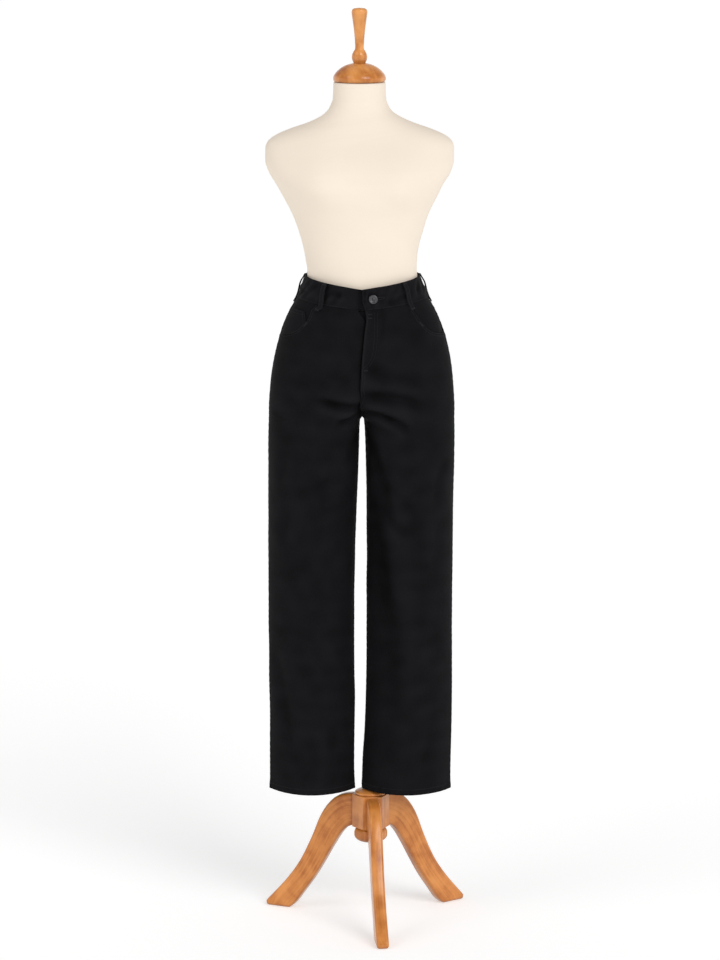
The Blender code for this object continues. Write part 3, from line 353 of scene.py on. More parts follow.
@dataclass
class Cut:
    """The trousers' surface, in the frame of the solids."""
    cloth: float = 0.0015
    seam_lap: float = 0.0010
    lap_fade: float = 0.020
    gap: float = 0.0003
    hem: float = 0.272
    hem_turn_up: float = 0.016
    hem_extra: float = 0.0011
    hem_fade_top: float = 0.345
    crotch: float = 1.0410
    crotch_rise: float = 0.095
    fade_below: float = 0.130
    fade_above: float = 0.070
    valley: float = 0.66
    waist_seam: float = 1.2775
    waist_top: float = 1.3215
    flatness: float = 2.8
    back_seam: float = 0.0008
    notch_width: float = 0.0150
    notch_foot: float = 1.236
    notch_top: float = 1.2625
    notch_close: float = 0.004
    fly_width: float = 0.029
    fly_raise: float = 0.0007
    fly_foot: float = 1.158
    fly_foot_fade: float = 0.020
    fly_edge: float = 0.004
    pole_place: float = 0.0189

    def __post_init__(self) -> None:
        """Find where the solids' own frame lies, from the pole, which stands at a known place in it."""
        low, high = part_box("pole")
        middle = [0.5 * (a + b) for a, b in zip(low, high)]
        self.shift = np.array([middle[0] - self.pole_place, middle[1], 0.0])

    def line_height(self, face: Face, across: Grid, height: Grid) -> Grid:
        """Real height of a line that starts at a height on the side seam."""
        centre = np.sin(0.5 * math.pi * across) ** 2
        if face is Face.FRONT:
            return height - smooth_read(SECTIONS, "dip", height) * centre
        return height + smooth_read(SECTIONS, "rise", height) * centre

    def inner_place(self, side: Side, face: Face, height: Grid) -> Grid:
        """X of a panel's inner edge: the inside leg seam, or the centre seam above the crotch."""
        leg = smooth_read(SLOT, "right_leg" if side is Side.RIGHT else "left_leg", height)
        seam = np.full_like(leg, self.back_seam)
        if face is Face.FRONT:
            seam = seam_place(height)
        if face is Face.FRONT and side is Side.RIGHT:
            open_part = smooth_step(self.notch_foot, self.notch_top, height)
            close_part = smooth_step(self.notch_top, self.notch_top + self.notch_close, height)
            seam = seam - self.notch_width * open_part * (1.0 - close_part)
        lap = self.seam_lap * smooth_step(self.crotch, self.crotch + self.lap_fade, height) - 0.5 * self.gap
        return np.where(np.asarray(height) <= self.crotch, leg, seam - side.value * lap)

    def crotch_share(self, across: Grid, height: Grid) -> Grid:
        """0 where a section is two leg tubes and 1 where it is one body."""
        part = np.clip((height - self.crotch) / self.crotch_rise, 0.0, 1.0)
        centre = np.sqrt(np.clip(1.0 - (1.0 - part) ** 2, 0.0, 1.0))
        slow = smooth_step(self.crotch - self.fade_below, self.crotch + self.fade_above, height)
        return slow + (centre - slow) * smooth_step(self.valley, 1.0, across)

    def base(self, side: Side, face: Face, across: Grid, height: Grid) -> Grid:
        """Points of the plain surface."""
        real = self.line_height(face, across, height)
        outer = side_place(side.value, real)
        inner = self.inner_place(side, face, real)
        depth = smooth_read(SECTIONS, "front" if face is Face.FRONT else "back", real)
        share = np.cos(0.5 * math.pi * across) ** 2
        body = np.sqrt(np.clip(1.0 - share ** self.flatness, 0.0, 1.0))
        leg = np.clip(np.sin(math.pi * across), 0.0, 1.0) ** smooth_read(SECTIONS, "edge", real)
        mix = self.crotch_share(across, real)
        x = inner + (outer - inner) * share
        y = face.value * depth * ((1.0 - mix) * leg + mix * body)
        return np.stack(np.broadcast_arrays(x, y, real), axis=-1)

    def normal(self, side: Side, face: Face, across: Grid, height: Grid) -> Grid:
        """Outward unit normals of the plain surface."""
        low = np.clip(across - 0.004, 0.0005, 0.9995)
        high = np.clip(across + 0.004, 0.0005, 0.9995)
        along = self.base(side, face, high, height) - self.base(side, face, low, height)
        up = self.base(side, face, across, height + 0.0015) - self.base(side, face, across, height - 0.0015)
        normal = np.cross(along, up) * side.value * face.value
        return normal / np.maximum(np.linalg.norm(normal, axis=-1, keepdims=True), 1e-12)

    def creases(self, side: Side, face: Face, across: Grid, x: Grid, z: Grid) -> Grid:
        """How far the creases move the surface out. They fade out at the seams."""
        relief = np.zeros(np.broadcast(x, z).shape)
        for crease in CREASES:
            if crease.side is not side or crease.face is not face:
                continue
            run = np.array([crease.x_to - crease.x_from, crease.z_to - crease.z_from])
            length = float(np.hypot(*run))
            along = ((x - crease.x_from) * run[0] + (z - crease.z_from) * run[1]) / length ** 2
            away = ((x - crease.x_from) * -run[1] + (z - crease.z_from) * run[0]) / length
            away = away - crease.bow * 4.0 * along * (1.0 - along)
            fade = smooth_step(-0.25, 0.25, along) * (1.0 - smooth_step(0.65, 1.10, along))
            shape = bell(away, crease.width)
            for way in (-1.0, 1.0):
                shape = shape - crease.ridge * bell(away + way * 2.0 * crease.width, 1.3 * crease.width)
            relief = relief - crease.depth * fade * shape
        return relief * smooth_step(0.0, 0.06, np.minimum(across, 1.0 - across))

    def fly(self, side: Side, face: Face, x: Grid, z: Grid) -> Grid:
        """The left front stands a little proud where the fly is doubled."""
        if side is not Side.LEFT or face is not Face.FRONT:
            return np.zeros(np.broadcast(x, z).shape)
        from_seam = x - seam_place(z)
        width = 1.0 - smooth_step(self.fly_width, self.fly_width + self.fly_edge, from_seam)
        return self.fly_raise * width * smooth_step(self.fly_foot, self.fly_foot + self.fly_foot_fade, z)

    def point(self, side: Side, face: Face, across: Grid, height: Grid,
              lift: Grid = 0.0) -> Grid:
        """Points of the creased surface, moved out by lift, in the solids' frame."""
        across = np.asarray(across, dtype=float)
        height = np.asarray(height, dtype=float)
        plain = self.base(side, face, across, height)
        relief = self.creases(side, face, across, plain[..., 0], plain[..., 2])
        relief = relief + self.fly(side, face, plain[..., 0], plain[..., 2])
        move = np.asarray(relief + lift)[..., None]
        return plain + self.normal(side, face, across, height) * move + self.shift

    def across_at(self, side: Side, face: Face, x: Grid, height: Grid) -> Grid:
        """The way across of the point that lies at x in the trousers' own frame."""
        outer = side_place(side.value, height)
        inner = self.inner_place(side, face, height)
        share = np.clip((x - inner) / (outer - inner), 0.0, 1.0)
        return 2.0 / math.pi * np.arccos(np.sqrt(share))

    def spot(self, side: Side, face: Face, x: Grid, z: Grid) -> tuple[Grid, Grid]:
        """Across and side seam height of the point that lies at x and z in the trousers' own frame."""
        x, z = np.broadcast_arrays(np.asarray(x, dtype=float), np.asarray(z, dtype=float))
        across = self.across_at(side, face, x, z)
        height = z
        for _ in range(12):
            height = height + z - self.line_height(face, across, height)
        return across, height

    def centre(self, place: Grid, height: Grid, lift: Grid) -> Grid:
        """Points of the front near the centre, as if it had no opening, moved out by lift."""
        place, height = np.broadcast_arrays(np.asarray(place, dtype=float), np.asarray(height, dtype=float))
        side = np.where(place < 0.0, -1, 1)
        outer = side_place(side, height)
        share = np.clip(place / outer, 0.0, 1.0)
        across = 2.0 / math.pi * np.arccos(np.sqrt(share))
        real = self.line_height(Face.FRONT, across, height)
        depth = smooth_read(SECTIONS, "front", real) * np.sqrt(1.0 - share ** self.flatness)
        slope = (smooth_read(SECTIONS, "front", real + self.gap) - smooth_read(SECTIONS, "front", real)) \
            / self.gap
        scale = 1.0 / np.sqrt(1.0 + slope ** 2)
        points = np.stack([place, -depth - lift * scale, real - lift * scale * slope], axis=-1)
        return points + self.shift


def feed(node: Node, **values: object) -> Node:
    """Set a node's inputs by name, link those whose value is an output, and set its own settings."""
    for name, value in values.items():
        title = name.replace("_", " ").title()
        if title not in node.inputs:
            setattr(node, name, value)
        elif isinstance(value, Socket):
            node.id_data.links.new(value, node.inputs[title])
        else:
            node.inputs[title].default_value = value
    return node


def output(tree: Tree, kind: str, title: str, **values: object) -> Socket:
    """Add a node of a kind, feed it and give the output with that title."""
    return feed(tree.nodes.new("ShaderNode" + kind), **values).outputs[title]


def reckon(tree: Tree, operation: str, *parts: object, **settings: object) -> Socket:
    """Add a sum of up to three parts, each a number or an output."""
    node = feed(tree.nodes.new("ShaderNodeMath"), operation=operation, **settings)
    for socket, part in zip(node.inputs, parts):
        if isinstance(part, Socket):
            tree.links.new(part, socket)
        else:
            socket.default_value = part
    return node.outputs["Value"]


@dataclass(frozen=True)
class Finish:
    """A finish: its slot in the record, its colour and how it shines."""
    name: str
    slot: str
    colour: tuple[float, float, float]
    roughness: float

    def make(self) -> bpy.types.Material:
        """The material, made once."""
        found = bpy.data.materials.get(self.name)
        if found:
            return found
        material = bpy.data.materials.new(self.name)
        material.use_nodes = True
        shader = material.node_tree.nodes["Principled BSDF"]
        feed(shader, base_color=self.shade(1.0), roughness=self.roughness)
        self.dress(material.node_tree, shader)
        return material

    def shade(self, *shares: float) -> tuple[float, ...]:
        """The colour times one share, or times a share for each of its three parts."""
        return (*(share * part for share, part in zip(shares * (3 // len(shares)), self.colour)), 1.0)

    def dress(self, tree: Tree, shader: Node) -> None:
        """Add the finish's own pattern."""

    def tint(self, shader: Node, factor: Socket, low: float, high: float) -> None:
        """Vary the base colour between two shares of itself by a factor."""
        feed(shader, base_color=output(shader.id_data, "Mix", "Result", data_type="RGBA", factor=factor,
                                       a=self.shade(low), b=self.shade(high)))

    @staticmethod
    def bump(shader: Node, height: Socket, strength: float, distance: float) -> None:
        """Raise the surface by a height."""
        feed(shader, normal=output(shader.id_data, "Bump", "Normal", strength=strength, distance=distance,
                                   height=height))


@dataclass(frozen=True)
class TwillFinish(Finish):
    """Black cotton twill: fine diagonal ribs on the cloth's own UV, with uneven yarns, wear, painted shade
    and painted highlights.
    """
    pitch: float = 0.0011
    sheen: float = 0.008
    wear_and_shade_strength: float = 0.9

    def dress(self, tree: Tree, shader: Node) -> None:
        """Ribs in the bump; slubs, soft wear, painted shade and painted highlights in the colour."""
        shader.inputs["Sheen Weight"].default_value = self.sheen
        shader.inputs["Sheen Roughness"].default_value = 0.45
        shader.inputs["Specular IOR Level"].default_value = 0.05
        cloth = output(tree, "UVMap", "UV", uv_map="cloth")
        slant = output(tree, "Mapping", "Vector", vector=cloth, rotation=(0.0, 0.0, math.radians(-32.0)))
        ribs = output(tree, "TexWave", "Fac", vector=slant, scale=2.0 * math.pi / 20.0 / self.pitch,
                      distortion=1.2, detail=2.0, detail_scale=1.5)
        warp = output(tree, "Mapping", "Vector", vector=cloth, scale=(900.0, 120.0, 1.0))
        slubs = output(tree, "TexNoise", "Fac", vector=warp, scale=1.0, detail=3.0, roughness=0.6)
        cloud = output(tree, "TexNoise", "Fac", vector=cloth, scale=26.0, detail=4.0, roughness=0.55)
        both = output(tree, "Mix", "Result", data_type="FLOAT", factor=0.45, a=slubs, b=cloud)
        weave = output(tree, "Mix", "Result", data_type="FLOAT", factor=0.35, a=both, b=ribs)
        # This UV map holds real wear together with painted shade in hollows and shadows and painted
        # highlights on raised edges; it darkens or lightens the base colour.
        wear_and_shade_level = output(tree, "UVMap", "UV", uv_map="wear")
        wear_and_shade_level = output(tree, "SeparateXYZ", "X", vector=wear_and_shade_level)
        shift = reckon(tree, "MULTIPLY_ADD", wear_and_shade_level, self.wear_and_shade_strength, -0.5 * self.wear_and_shade_strength)
        self.tint(shader, reckon(tree, "ADD", weave, shift, use_clamp=True), 0.30, 1.75)
        self.bump(shader, reckon(tree, "MULTIPLY_ADD", slubs, 0.5, ribs), 0.55, 0.00014)


@dataclass(frozen=True)
class ThreadFinish(Finish):
    """Twisted sewing thread."""

    def dress(self, tree: Tree, shader: Node) -> None:
        """A fine uneven twist."""
        shader.inputs["Sheen Weight"].default_value = 0.03
        shader.inputs["Specular IOR Level"].default_value = 0.12
        place = output(tree, "TexCoord", "Object")
        fuzz = output(tree, "TexNoise", "Fac", vector=place, scale=2600.0, detail=2.0)
        self.tint(shader, fuzz, 0.6, 1.4)
        self.bump(shader, fuzz, 0.5, 0.0001)


@dataclass(frozen=True)
class JerseyFinish(Finish):
    """Fine cream jersey stretched over the form."""

    def dress(self, tree: Tree, shader: Node) -> None:
        """Tiny wales and courses, and a soft unevenness."""
        shader.inputs["Sheen Weight"].default_value = 0.12
        shader.inputs["Specular IOR Level"].default_value = 0.2
        knit = {"vector": output(tree, "UVMap", "UV", uv_map="cloth"), "distortion": 1.0, "detail": 1.0}
        wales = output(tree, "TexWave", "Fac", scale=260.0, **knit)
        courses = output(tree, "TexWave", "Fac", scale=300.0, bands_direction="Y", **knit)
        cloud = output(tree, "TexNoise", "Fac", vector=knit["vector"], scale=9.0, detail=5.0, roughness=0.6)
        self.tint(shader, cloud, 0.975, 1.03)
        self.bump(shader, reckon(tree, "MULTIPLY", wales, courses), 0.25, 0.0001)


@dataclass(frozen=True)
class WoodFinish(Finish):
    """Varnished orange-brown wood, with its grain along the piece's UV."""
    clouds: float = 0.50

    def dress(self, tree: Tree, shader: Node) -> None:
        """Long streaks, fine pores and a clear coat. Faces that look down get painted shade."""
        shader.inputs["Specular IOR Level"].default_value = 0.28
        shader.inputs["Coat Weight"].default_value = 0.42
        shader.inputs["Coat Roughness"].default_value = 0.20
        grain = output(tree, "UVMap", "UV", uv_map="grain")
        long_way = output(tree, "Mapping", "Vector", vector=grain, scale=(6.0, 150.0, 1.0))
        streaks = output(tree, "TexNoise", "Fac", vector=long_way, scale=1.0, detail=5.0, roughness=0.60,
                         distortion=0.5)
        pore_way = output(tree, "Mapping", "Vector", vector=grain, scale=(70.0, 1500.0, 1.0))
        pores = output(tree, "TexNoise", "Fac", vector=pore_way, scale=1.0, detail=2.0)
        place = output(tree, "TexCoord", "Object")
        cloud = output(tree, "TexNoise", "Fac", vector=place, scale=30.0, detail=3.0, roughness=0.5)
        both = output(tree, "Mix", "Result", data_type="FLOAT", factor=self.clouds, a=streaks, b=cloud)
        ramp = feed(tree.nodes.new("ShaderNodeValToRGB"), fac=both)
        dark_end, light_end = ramp.color_ramp.elements
        dark_end.position, light_end.position = 0.34, 0.64
        dark_end.color = self.shade(0.66, 0.50, 0.30)
        light_end.color = self.shade(1.20, 1.32, 1.60)
        ramp.color_ramp.elements.new(0.50).color = self.shade(1.0)
        pored = output(tree, "Mix", "Result", data_type="RGBA", blend_type="MULTIPLY", factor=0.06,
                       a=ramp.outputs["Color"], b=pores)
        # Painted shade: faces that look down are darkened.
        facing = output(tree, "NewGeometry", "Normal")
        upward = output(tree, "SeparateXYZ", "Z", vector=facing)
        below = output(tree, "MapRange", "Result", value=upward, from_min=-0.75, from_max=0.05, to_min=0.58)
        feed(shader, base_color=output(tree, "Mix", "Result", data_type="RGBA", blend_type="MULTIPLY",
                                       factor=1.0, a=pored, b=below))
        self.bump(shader, pores, 0.10, 0.0002)


@dataclass(frozen=True)
class MetalFinish(Finish):
    """Metal with fine scratches."""
    scratches: float = 300.0

    def dress(self, tree: Tree, shader: Node) -> None:
        """Uneven polish."""
        place = output(tree, "TexCoord", "Object")
        fuzz = output(tree, "TexNoise", "Fac", vector=place, scale=self.scratches, detail=4.0)
        self.tint(shader, fuzz, 0.75, 1.25)
        spread = output(tree, "MapRange", "Result", value=fuzz, to_min=0.7 * self.roughness,
                        to_max=1.3 * self.roughness)
        feed(shader, metallic=1.0, roughness=spread)


TWILL = TwillFinish("black_twill", "black_denim", (0.0062, 0.0060, 0.0071), 0.80)
BAND_TWILL = TwillFinish("black_twill_doubled", "black_denim_band", (0.0070, 0.0068, 0.0082), 0.78)
LOOP_TWILL = TwillFinish("black_twill_loops", "black_denim_band", (0.0096, 0.0093, 0.0110), 0.76)
THREAD = ThreadFinish("black_thread", "black_denim", (0.0150, 0.0146, 0.0168), 0.66)
BAND_THREAD = ThreadFinish("black_thread_band", "black_denim_band", (0.0140, 0.0136, 0.0158), 0.66)
JERSEY = JerseyFinish("cream_jersey_knit", "cream_jersey", (0.86, 0.755, 0.635), 0.88)
WOOD = WoodFinish("varnished_wood", "orange_wood", (0.622, 0.222, 0.044), 0.28)
# A lighter copy of the wood for the cap and finial: painted light for their brighter, upward-facing faces.
HEAD_WOOD_PAINTED_LIGHTER = WoodFinish("varnished_head_wood_painted_lighter", "orange_wood", (0.695, 0.270, 0.062), 0.26, 0.80)
STEEL = MetalFinish("brushed_pole", "pole_steel", (0.50, 0.50, 0.51), 0.32)
GUNMETAL = MetalFinish("gunmetal", "button_metal", (0.085, 0.085, 0.090), 0.30, 1800.0)


def settle(piece: Piece, finish: Finish, *nodes: str) -> Piece:
    """Dress a piece, let it ride on the body and stand for its nodes.

    Args:
        piece: The piece.
        finish: Its finish.
        nodes: Names of the nodes that it stands for.

    Returns:
        The piece.
    """
    piece.data.materials.clear()
    piece.data.materials.append(finish.make())
    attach(piece, BODY)
    if nodes:
        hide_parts(*nodes)
    return piece


def grid_faces(rows: int, columns: int, start: int, flip: bool) -> Grid:
    """Quads of a grid whose points start at an index."""
    r, c = np.meshgrid(np.arange(rows - 1), np.arange(columns - 1), indexing="ij")
    corner = start + (r * columns + c).ravel()
    quads = np.stack([corner, corner + 1, corner + columns + 1, corner + columns], axis=1)
    return quads[:, ::-1] if flip else quads


def shown_mesh(name: str, points: Grid, faces: list) -> Piece:
    """A new smooth piece from points and faces."""
    mesh = bpy.data.meshes.new(name)
    mesh.from_pydata(points.tolist(), [], faces)
    mesh.shade_smooth()
    piece = bpy.data.objects.new(name, mesh)
    bpy.context.scene.collection.objects.link(piece)
    return piece


def write_uv(mesh: bpy.types.Mesh, name: str, values: Grid) -> None:
    """Write a UV map that gives each point one place."""
    layer = mesh.uv_layers.get(name) or mesh.uv_layers.new(name=name)
    corners = np.empty(len(mesh.loops), dtype=np.int32)
    mesh.loops.foreach_get("vertex_index", corners)
    layer.data.foreach_set("uv", values[corners].ravel())


def mesh_points(piece: Piece) -> Grid:
    """The points of a piece's mesh."""
    points = np.empty(3 * len(piece.data.vertices))
    piece.data.vertices.foreach_get("co", points)
    return points.reshape(-1, 3)


def bevelled(piece: Piece, width: float, segments: int, sharp: float) -> None:
    """Give a piece a live bevel on its edges over an angle in degrees."""
    bevel = piece.modifiers.new("rim", "BEVEL")
    bevel.width = width
    bevel.segments = segments
    bevel.limit_method = "ANGLE"
    bevel.angle_limit = math.radians(sharp)


def cloth_uv(outer: Grid) -> Grid:
    """Metres along the cloth's rows and up its columns, for each point of its grid."""
    way = np.gradient(outer, axis=1)
    way = unit(way)
    step = np.diff(outer, axis=0)
    slide = np.sum(step * way[1:], axis=-1, keepdims=True)
    rise = np.linalg.norm(step - slide * way[1:], axis=-1)
    v = np.concatenate([np.zeros((1, outer.shape[1])), np.cumsum(rise, axis=0)])
    middle = outer.shape[1] // 3
    u = arc_lengths(outer, 1)
    u = u - u[:, [middle]]
    u[1:] = u[1:] + np.cumsum(slide[:, middle], axis=0)
    return np.stack([u, v], axis=-1).reshape(-1, 2)


def cloth_wall(name: str, outer: Grid, inner: Grid, rim: float = 0.0004,
               wear: Optional[Grid] = None) -> Piece:
    """A closed wall of cloth between two grids, with a UV map in metres and softened edges.

    Args:
        name: The piece's name.
        outer, inner: Points, rows by columns.
        rim: Width of the bevel on the wall's cut edges.
        wear: How dark or pale each point is painted: 0 for painted shade in a hollow, 0.5 as new, 1 for a
            rubbed edge with a painted highlight.

    Returns:
        The piece.
    """
    rows, columns = outer.shape[:2]
    count = rows * columns
    here = (rows // 2, columns // 2)
    across = outer[here[0], here[1] + 1] - outer[here]
    up = outer[here[0] + 1, here[1]] - outer[here]
    flip = bool(np.dot(np.cross(across, up), outer[here] - inner[here]) < 0.0)
    index = np.arange(count).reshape(rows, columns)
    ring = np.concatenate([index[0, :-1], index[:-1, -1], index[-1, :0:-1], index[:0:-1, 0]])
    after = np.roll(ring, -1)
    sides = np.stack([ring, ring + count, after + count, after], axis=1)
    quads = np.concatenate([grid_faces(rows, columns, 0, flip), grid_faces(rows, columns, count, not flip),
                            sides[:, ::-1] if flip else sides])
    points = np.concatenate([outer.reshape(-1, 3), inner.reshape(-1, 3)])
    piece = shown_mesh(name, points, quads.tolist())
    write_uv(piece.data, "cloth", np.tile(cloth_uv(outer), (2, 1)))
    # Painted shade and painted highlight values, with real wear, go into this UV map.
    wear_and_shade_level = np.full(count, 0.5) if wear is None else np.clip(wear, 0.0, 1.0).ravel()
    write_uv(piece.data, "wear", np.tile(np.stack([wear_and_shade_level, np.zeros(count)], axis=1), (2, 1)))
    bevelled(piece, rim, 2, 58.0)
    bpy.context.view_layer.update()
    shown = piece.evaluated_get(bpy.context.evaluated_depsgraph_get())
    piece.data = bpy.data.meshes.new_from_object(shown)
    piece.modifiers.clear()
    piece.data.name = name
    piece.data.shade_smooth()
    return piece


def flat_size(grid: Grid) -> tuple[float, float, float]:
    """Flat width, length and area of the cloth on a grid of points."""
    width = float(arc_lengths(grid, 1)[:, -1].max())
    length = float(arc_lengths(grid, 0)[-1].max())
    one = np.cross(grid[1:, :-1] - grid[:-1, :-1], grid[:-1, 1:] - grid[:-1, :-1])
    two = np.cross(grid[:-1, 1:] - grid[1:, 1:], grid[1:, :-1] - grid[1:, 1:])
    area = 0.5 * float(np.linalg.norm(one, axis=-1).sum() + np.linalg.norm(two, axis=-1).sum())
    return width, length, area


def declare_sheet(piece: Piece, grid: Grid) -> None:
    """Log a piece's flat width, length and area, as its grid measures."""
    width, length, area = flat_size(grid)
    LOG.info("%s: flat %.3f x %.3f m, %.4f m2", piece.name, width, length, area)


def make_sheet(node: str, outer: Grid, inner: Grid, finish: Finish, under: str, rim: float = 0.0004,
               wear: Optional[Grid] = None) -> Piece:
    """Build the cloth that stands for a node, dress it and log its flat size.

    Args:
        node: The node that it stands for.
        outer, inner: Points, rows by columns.
        finish: Its finish.
        under: The node that it rests on; not used.
        rim, wear: As for a cloth wall.

    Returns:
        The piece.
    """
    piece = settle(cloth_wall(node + "_cloth", outer, inner, rim, wear), finish, node)
    declare_sheet(piece, outer)
    return piece


def shell_columns(count: int = 84) -> Grid:
    """Places across a panel, close together beside its seams."""
    ends = np.array([0.0, 0.004, 0.009, 0.016, 0.026, 0.040])
    middle = np.linspace(0.058, 0.942, count - 2 * len(ends))
    return np.concatenate([ends, middle, 1.0 - ends[::-1]])


def line_reach(points: Grid, path: Grid, reach: float) -> tuple[Grid, Grid]:
    """How far points lie from a line, and how far along the line its nearest place is.

    Args:
        points: Any grid of points.
        path: The line's points, a millimetre or two apart.
        reach: Distances over this are given as this.

    Returns:
        Distances and lengths along, both in the grid's shape.
    """
    flat = points.reshape(-1, 3)
    distance = np.full(len(flat), reach)
    along = np.zeros(len(flat))
    low, high = path.min(axis=0) - reach, path.max(axis=0) + reach
    near = np.flatnonzero(np.all((flat > low) & (flat < high), axis=1))
    walk = arc_lengths(path, 0)
    for part in np.array_split(near, max(1, len(near) // 4000)):
        gaps = np.linalg.norm(flat[part, None] - path[None], axis=-1)
        best = gaps.argmin(axis=1)
        distance[part] = np.minimum(gaps[np.arange(len(part)), best], reach)
        along[part] = walk[best]
    return distance.reshape(points.shape[:-1]), along.reshape(points.shape[:-1])


@dataclass
class Panels:
    """Front and back panels and yokes."""
    cut: Cut
    swell: float = 0.00040
    pucker: float = 0.00024
    pucker_pitch: float = 0.013
    groove: float = 0.0008
    groove_width: float = 0.0014
    welt: float = 0.00045
    welt_width: float = 0.0085
    fly_lip: float = 0.0016
    fly_hollow: float = 0.0026
    hem_step: float = 0.0004
    rope: float = 0.00032
    rope_pitch: float = 0.017
    line_sight: float = 0.02
    j_groove: float = 0.0005
    j_groove_width: float = 0.0028
    j_pucker: float = 0.0003
    j_pucker_pitch: float = 0.014
    # Crease hollows get painted shade, ridges and raised strips get wear and a painted highlight, and the
    # patchy tone is random.
    crease_painted_shade: float = 52.0
    ridge_wear_and_highlight: float = 75.0
    darkest_crease_shade: float = -0.34
    raised_wear_and_highlight: float = 90.0
    patchy_wear: float = 0.09
    tuck: float = 0.0009
    tuck_reach: float = 0.0016
    yoke_side: float = 0.036
    yoke_centre: float = 0.078
    j_width: float = 0.0250
    j_bend: float = 1.188
    j_foot: float = 1.146

    def welted(self, away: Grid, along: Grid, seed: int) -> Grid:
        """Relief beside a sewn edge: a doubled strip, the edge's groove, and puckers along it."""
        wander = 0.005 * soft_noise(along, along * 0.0, seed, 0.20, 0.04)
        wave = np.sin(2.0 * math.pi * (along + wander) / self.pucker_pitch)
        strip = 1.0 - smooth_step(self.welt_width, self.welt_width + 0.003, away)
        relief = self.welt * strip * (1.0 - bell(away, 0.0012)) - self.groove * bell(away, self.groove_width)
        return relief + self.pucker * wave * bell(away - 0.0055, 0.0055)

    def relief(self, points: Grid, face: Face, seed: int) -> Grid:
        """Swells over the whole panel, and what the seams at its two long edges do."""
        arc = arc_lengths(points, 1)
        up = points[..., 2]
        from_inside = arc[:, -1:] - arc
        lift = self.swell * soft_noise(from_inside, 0.6 * up, seed, 0.20, 0.045)
        lift = lift + self.welted(from_inside, up, seed + 8)
        mouth = 1.0 - smooth_step(POCKET_MOUTH[0].height - 0.010, POCKET_MOUTH[0].height - 0.002, up)
        return lift + self.welted(arc, up, seed + 7) * (mouth if face is Face.FRONT else 1.0)

    def hem_wall(self, height: Grid) -> Grid:
        """Thickness of the wall, which is turned up at the hem."""
        fade = smooth_step(self.cut.hem + self.cut.hem_turn_up, self.cut.hem_fade_top, height)
        return self.cut.cloth + self.cut.hem_extra * (1.0 - fade)

    def hem_roll(self, height: Grid, arc: Grid) -> Grid:
        """The hem's turned edge: a faint step above it, and roping along it."""
        above = height - self.cut.hem
        turned = self.cut.hem_turn_up
        step = self.hem_step * (1.0 - smooth_step(turned - 0.001, turned + 0.003, above))
        rope = np.sin(2.0 * math.pi * (arc + 0.5 * above) / self.rope_pitch) * bell(above - 0.006, 0.008)
        return step + self.rope * rope

    def mouth_line(self, side: Side) -> Grid:
        """The front pocket's mouth, as points."""
        across = np.linspace(0.0, POCKET_MOUTH[-1].across, 90)
        height = mouth_height(across)
        return self.cut.point(side, Face.FRONT, across, height)

    def fly_line(self, inset: float = 0.0) -> Grid:
        """The fly's J-shaped stitch line, as points, closer to the edge by an inset."""
        straight = np.linspace(self.cut.notch_top - 0.002, self.j_bend, 40)
        turn = np.linspace(0.0, 0.5 * math.pi, 40)[1:]
        drop = self.j_bend - self.j_foot - inset
        height = np.concatenate([straight, self.j_bend - drop * np.sin(turn)])
        out = (self.j_width - inset) * np.concatenate([np.ones(40), np.cos(turn)])
        x = np.minimum(seam_place(height), 0.0062) + out
        return self.cut.point(Side.LEFT, Face.FRONT, *self.cut.spot(Side.LEFT, Face.FRONT, x, height))

    def shell(self, name: str, side: Side, face: Face, across: Grid, height: Grid,
              seed: int, tucked: int = 1) -> Piece:
        """Build one panel's wall and dress it.

        Args:
            name: The node that it stands for.
            side, face: Where it is.
            across, height: Its grid.
            seed: Which swells it has.
            tucked: How many of its top rows go under the next piece.

        Returns:
            The piece.
        """
        plain = self.cut.base(side, face, across, height)
        here = plain + self.cut.shift
        lift = self.relief(plain, face, seed) + self.hem_roll(height, arc_lengths(plain, 1))
        if face is Face.FRONT:
            lift = lift + self.front_edge(side, plain)
            away, along = line_reach(here, self.mouth_line(side), self.line_sight)
            lift = lift + self.welted(away, along, seed + 3)
        if face is Face.FRONT and side is Side.LEFT:
            away, along = line_reach(here, self.fly_line(0.003), self.line_sight)
            lift = lift - self.j_groove * bell(away, self.j_groove_width)
            wave = np.sin(2.0 * math.pi * along / self.j_pucker_pitch)
            lift = lift + self.j_pucker * wave * bell(away, 0.008)
        # Colour: painted shade in crease hollows, wear and a painted highlight on ridges and raised parts,
        # painted light and shade along the fly, and random patches.
        crease = self.cut.creases(side, face, across, plain[..., 0], plain[..., 2])
        wear_and_shade_level = np.where(crease < 0.0, self.crease_painted_shade, self.ridge_wear_and_highlight) * crease
        wear = 0.5 + np.maximum(wear_and_shade_level, self.darkest_crease_shade)
        wear = wear + self.fly_painted_light_and_shade(side, face, plain)
        wear = wear + self.raised_wear_and_highlight * np.maximum(lift - self.swell, 0.0)
        wear = wear + self.patchy_wear * soft_noise(plain[..., 0], plain[..., 2], seed + 2, 0.14, 0.035)
        if tucked:
            lift[-tucked:] = -self.tuck
        outer = self.cut.point(side, face, across, height, lift)
        inner = self.cut.point(side, face, across, height, lift - self.hem_wall(height))
        middle = self.cut.shift[1]
        for grid in (outer, inner):
            place = face.value * (grid[..., 1] - middle)
            place = np.where(place < self.cut.gap, -self.cut.gap, place)
            grid[..., 1] = middle + face.value * place
        return make_sheet(name, outer, inner, TWILL, "form_body", wear=wear)

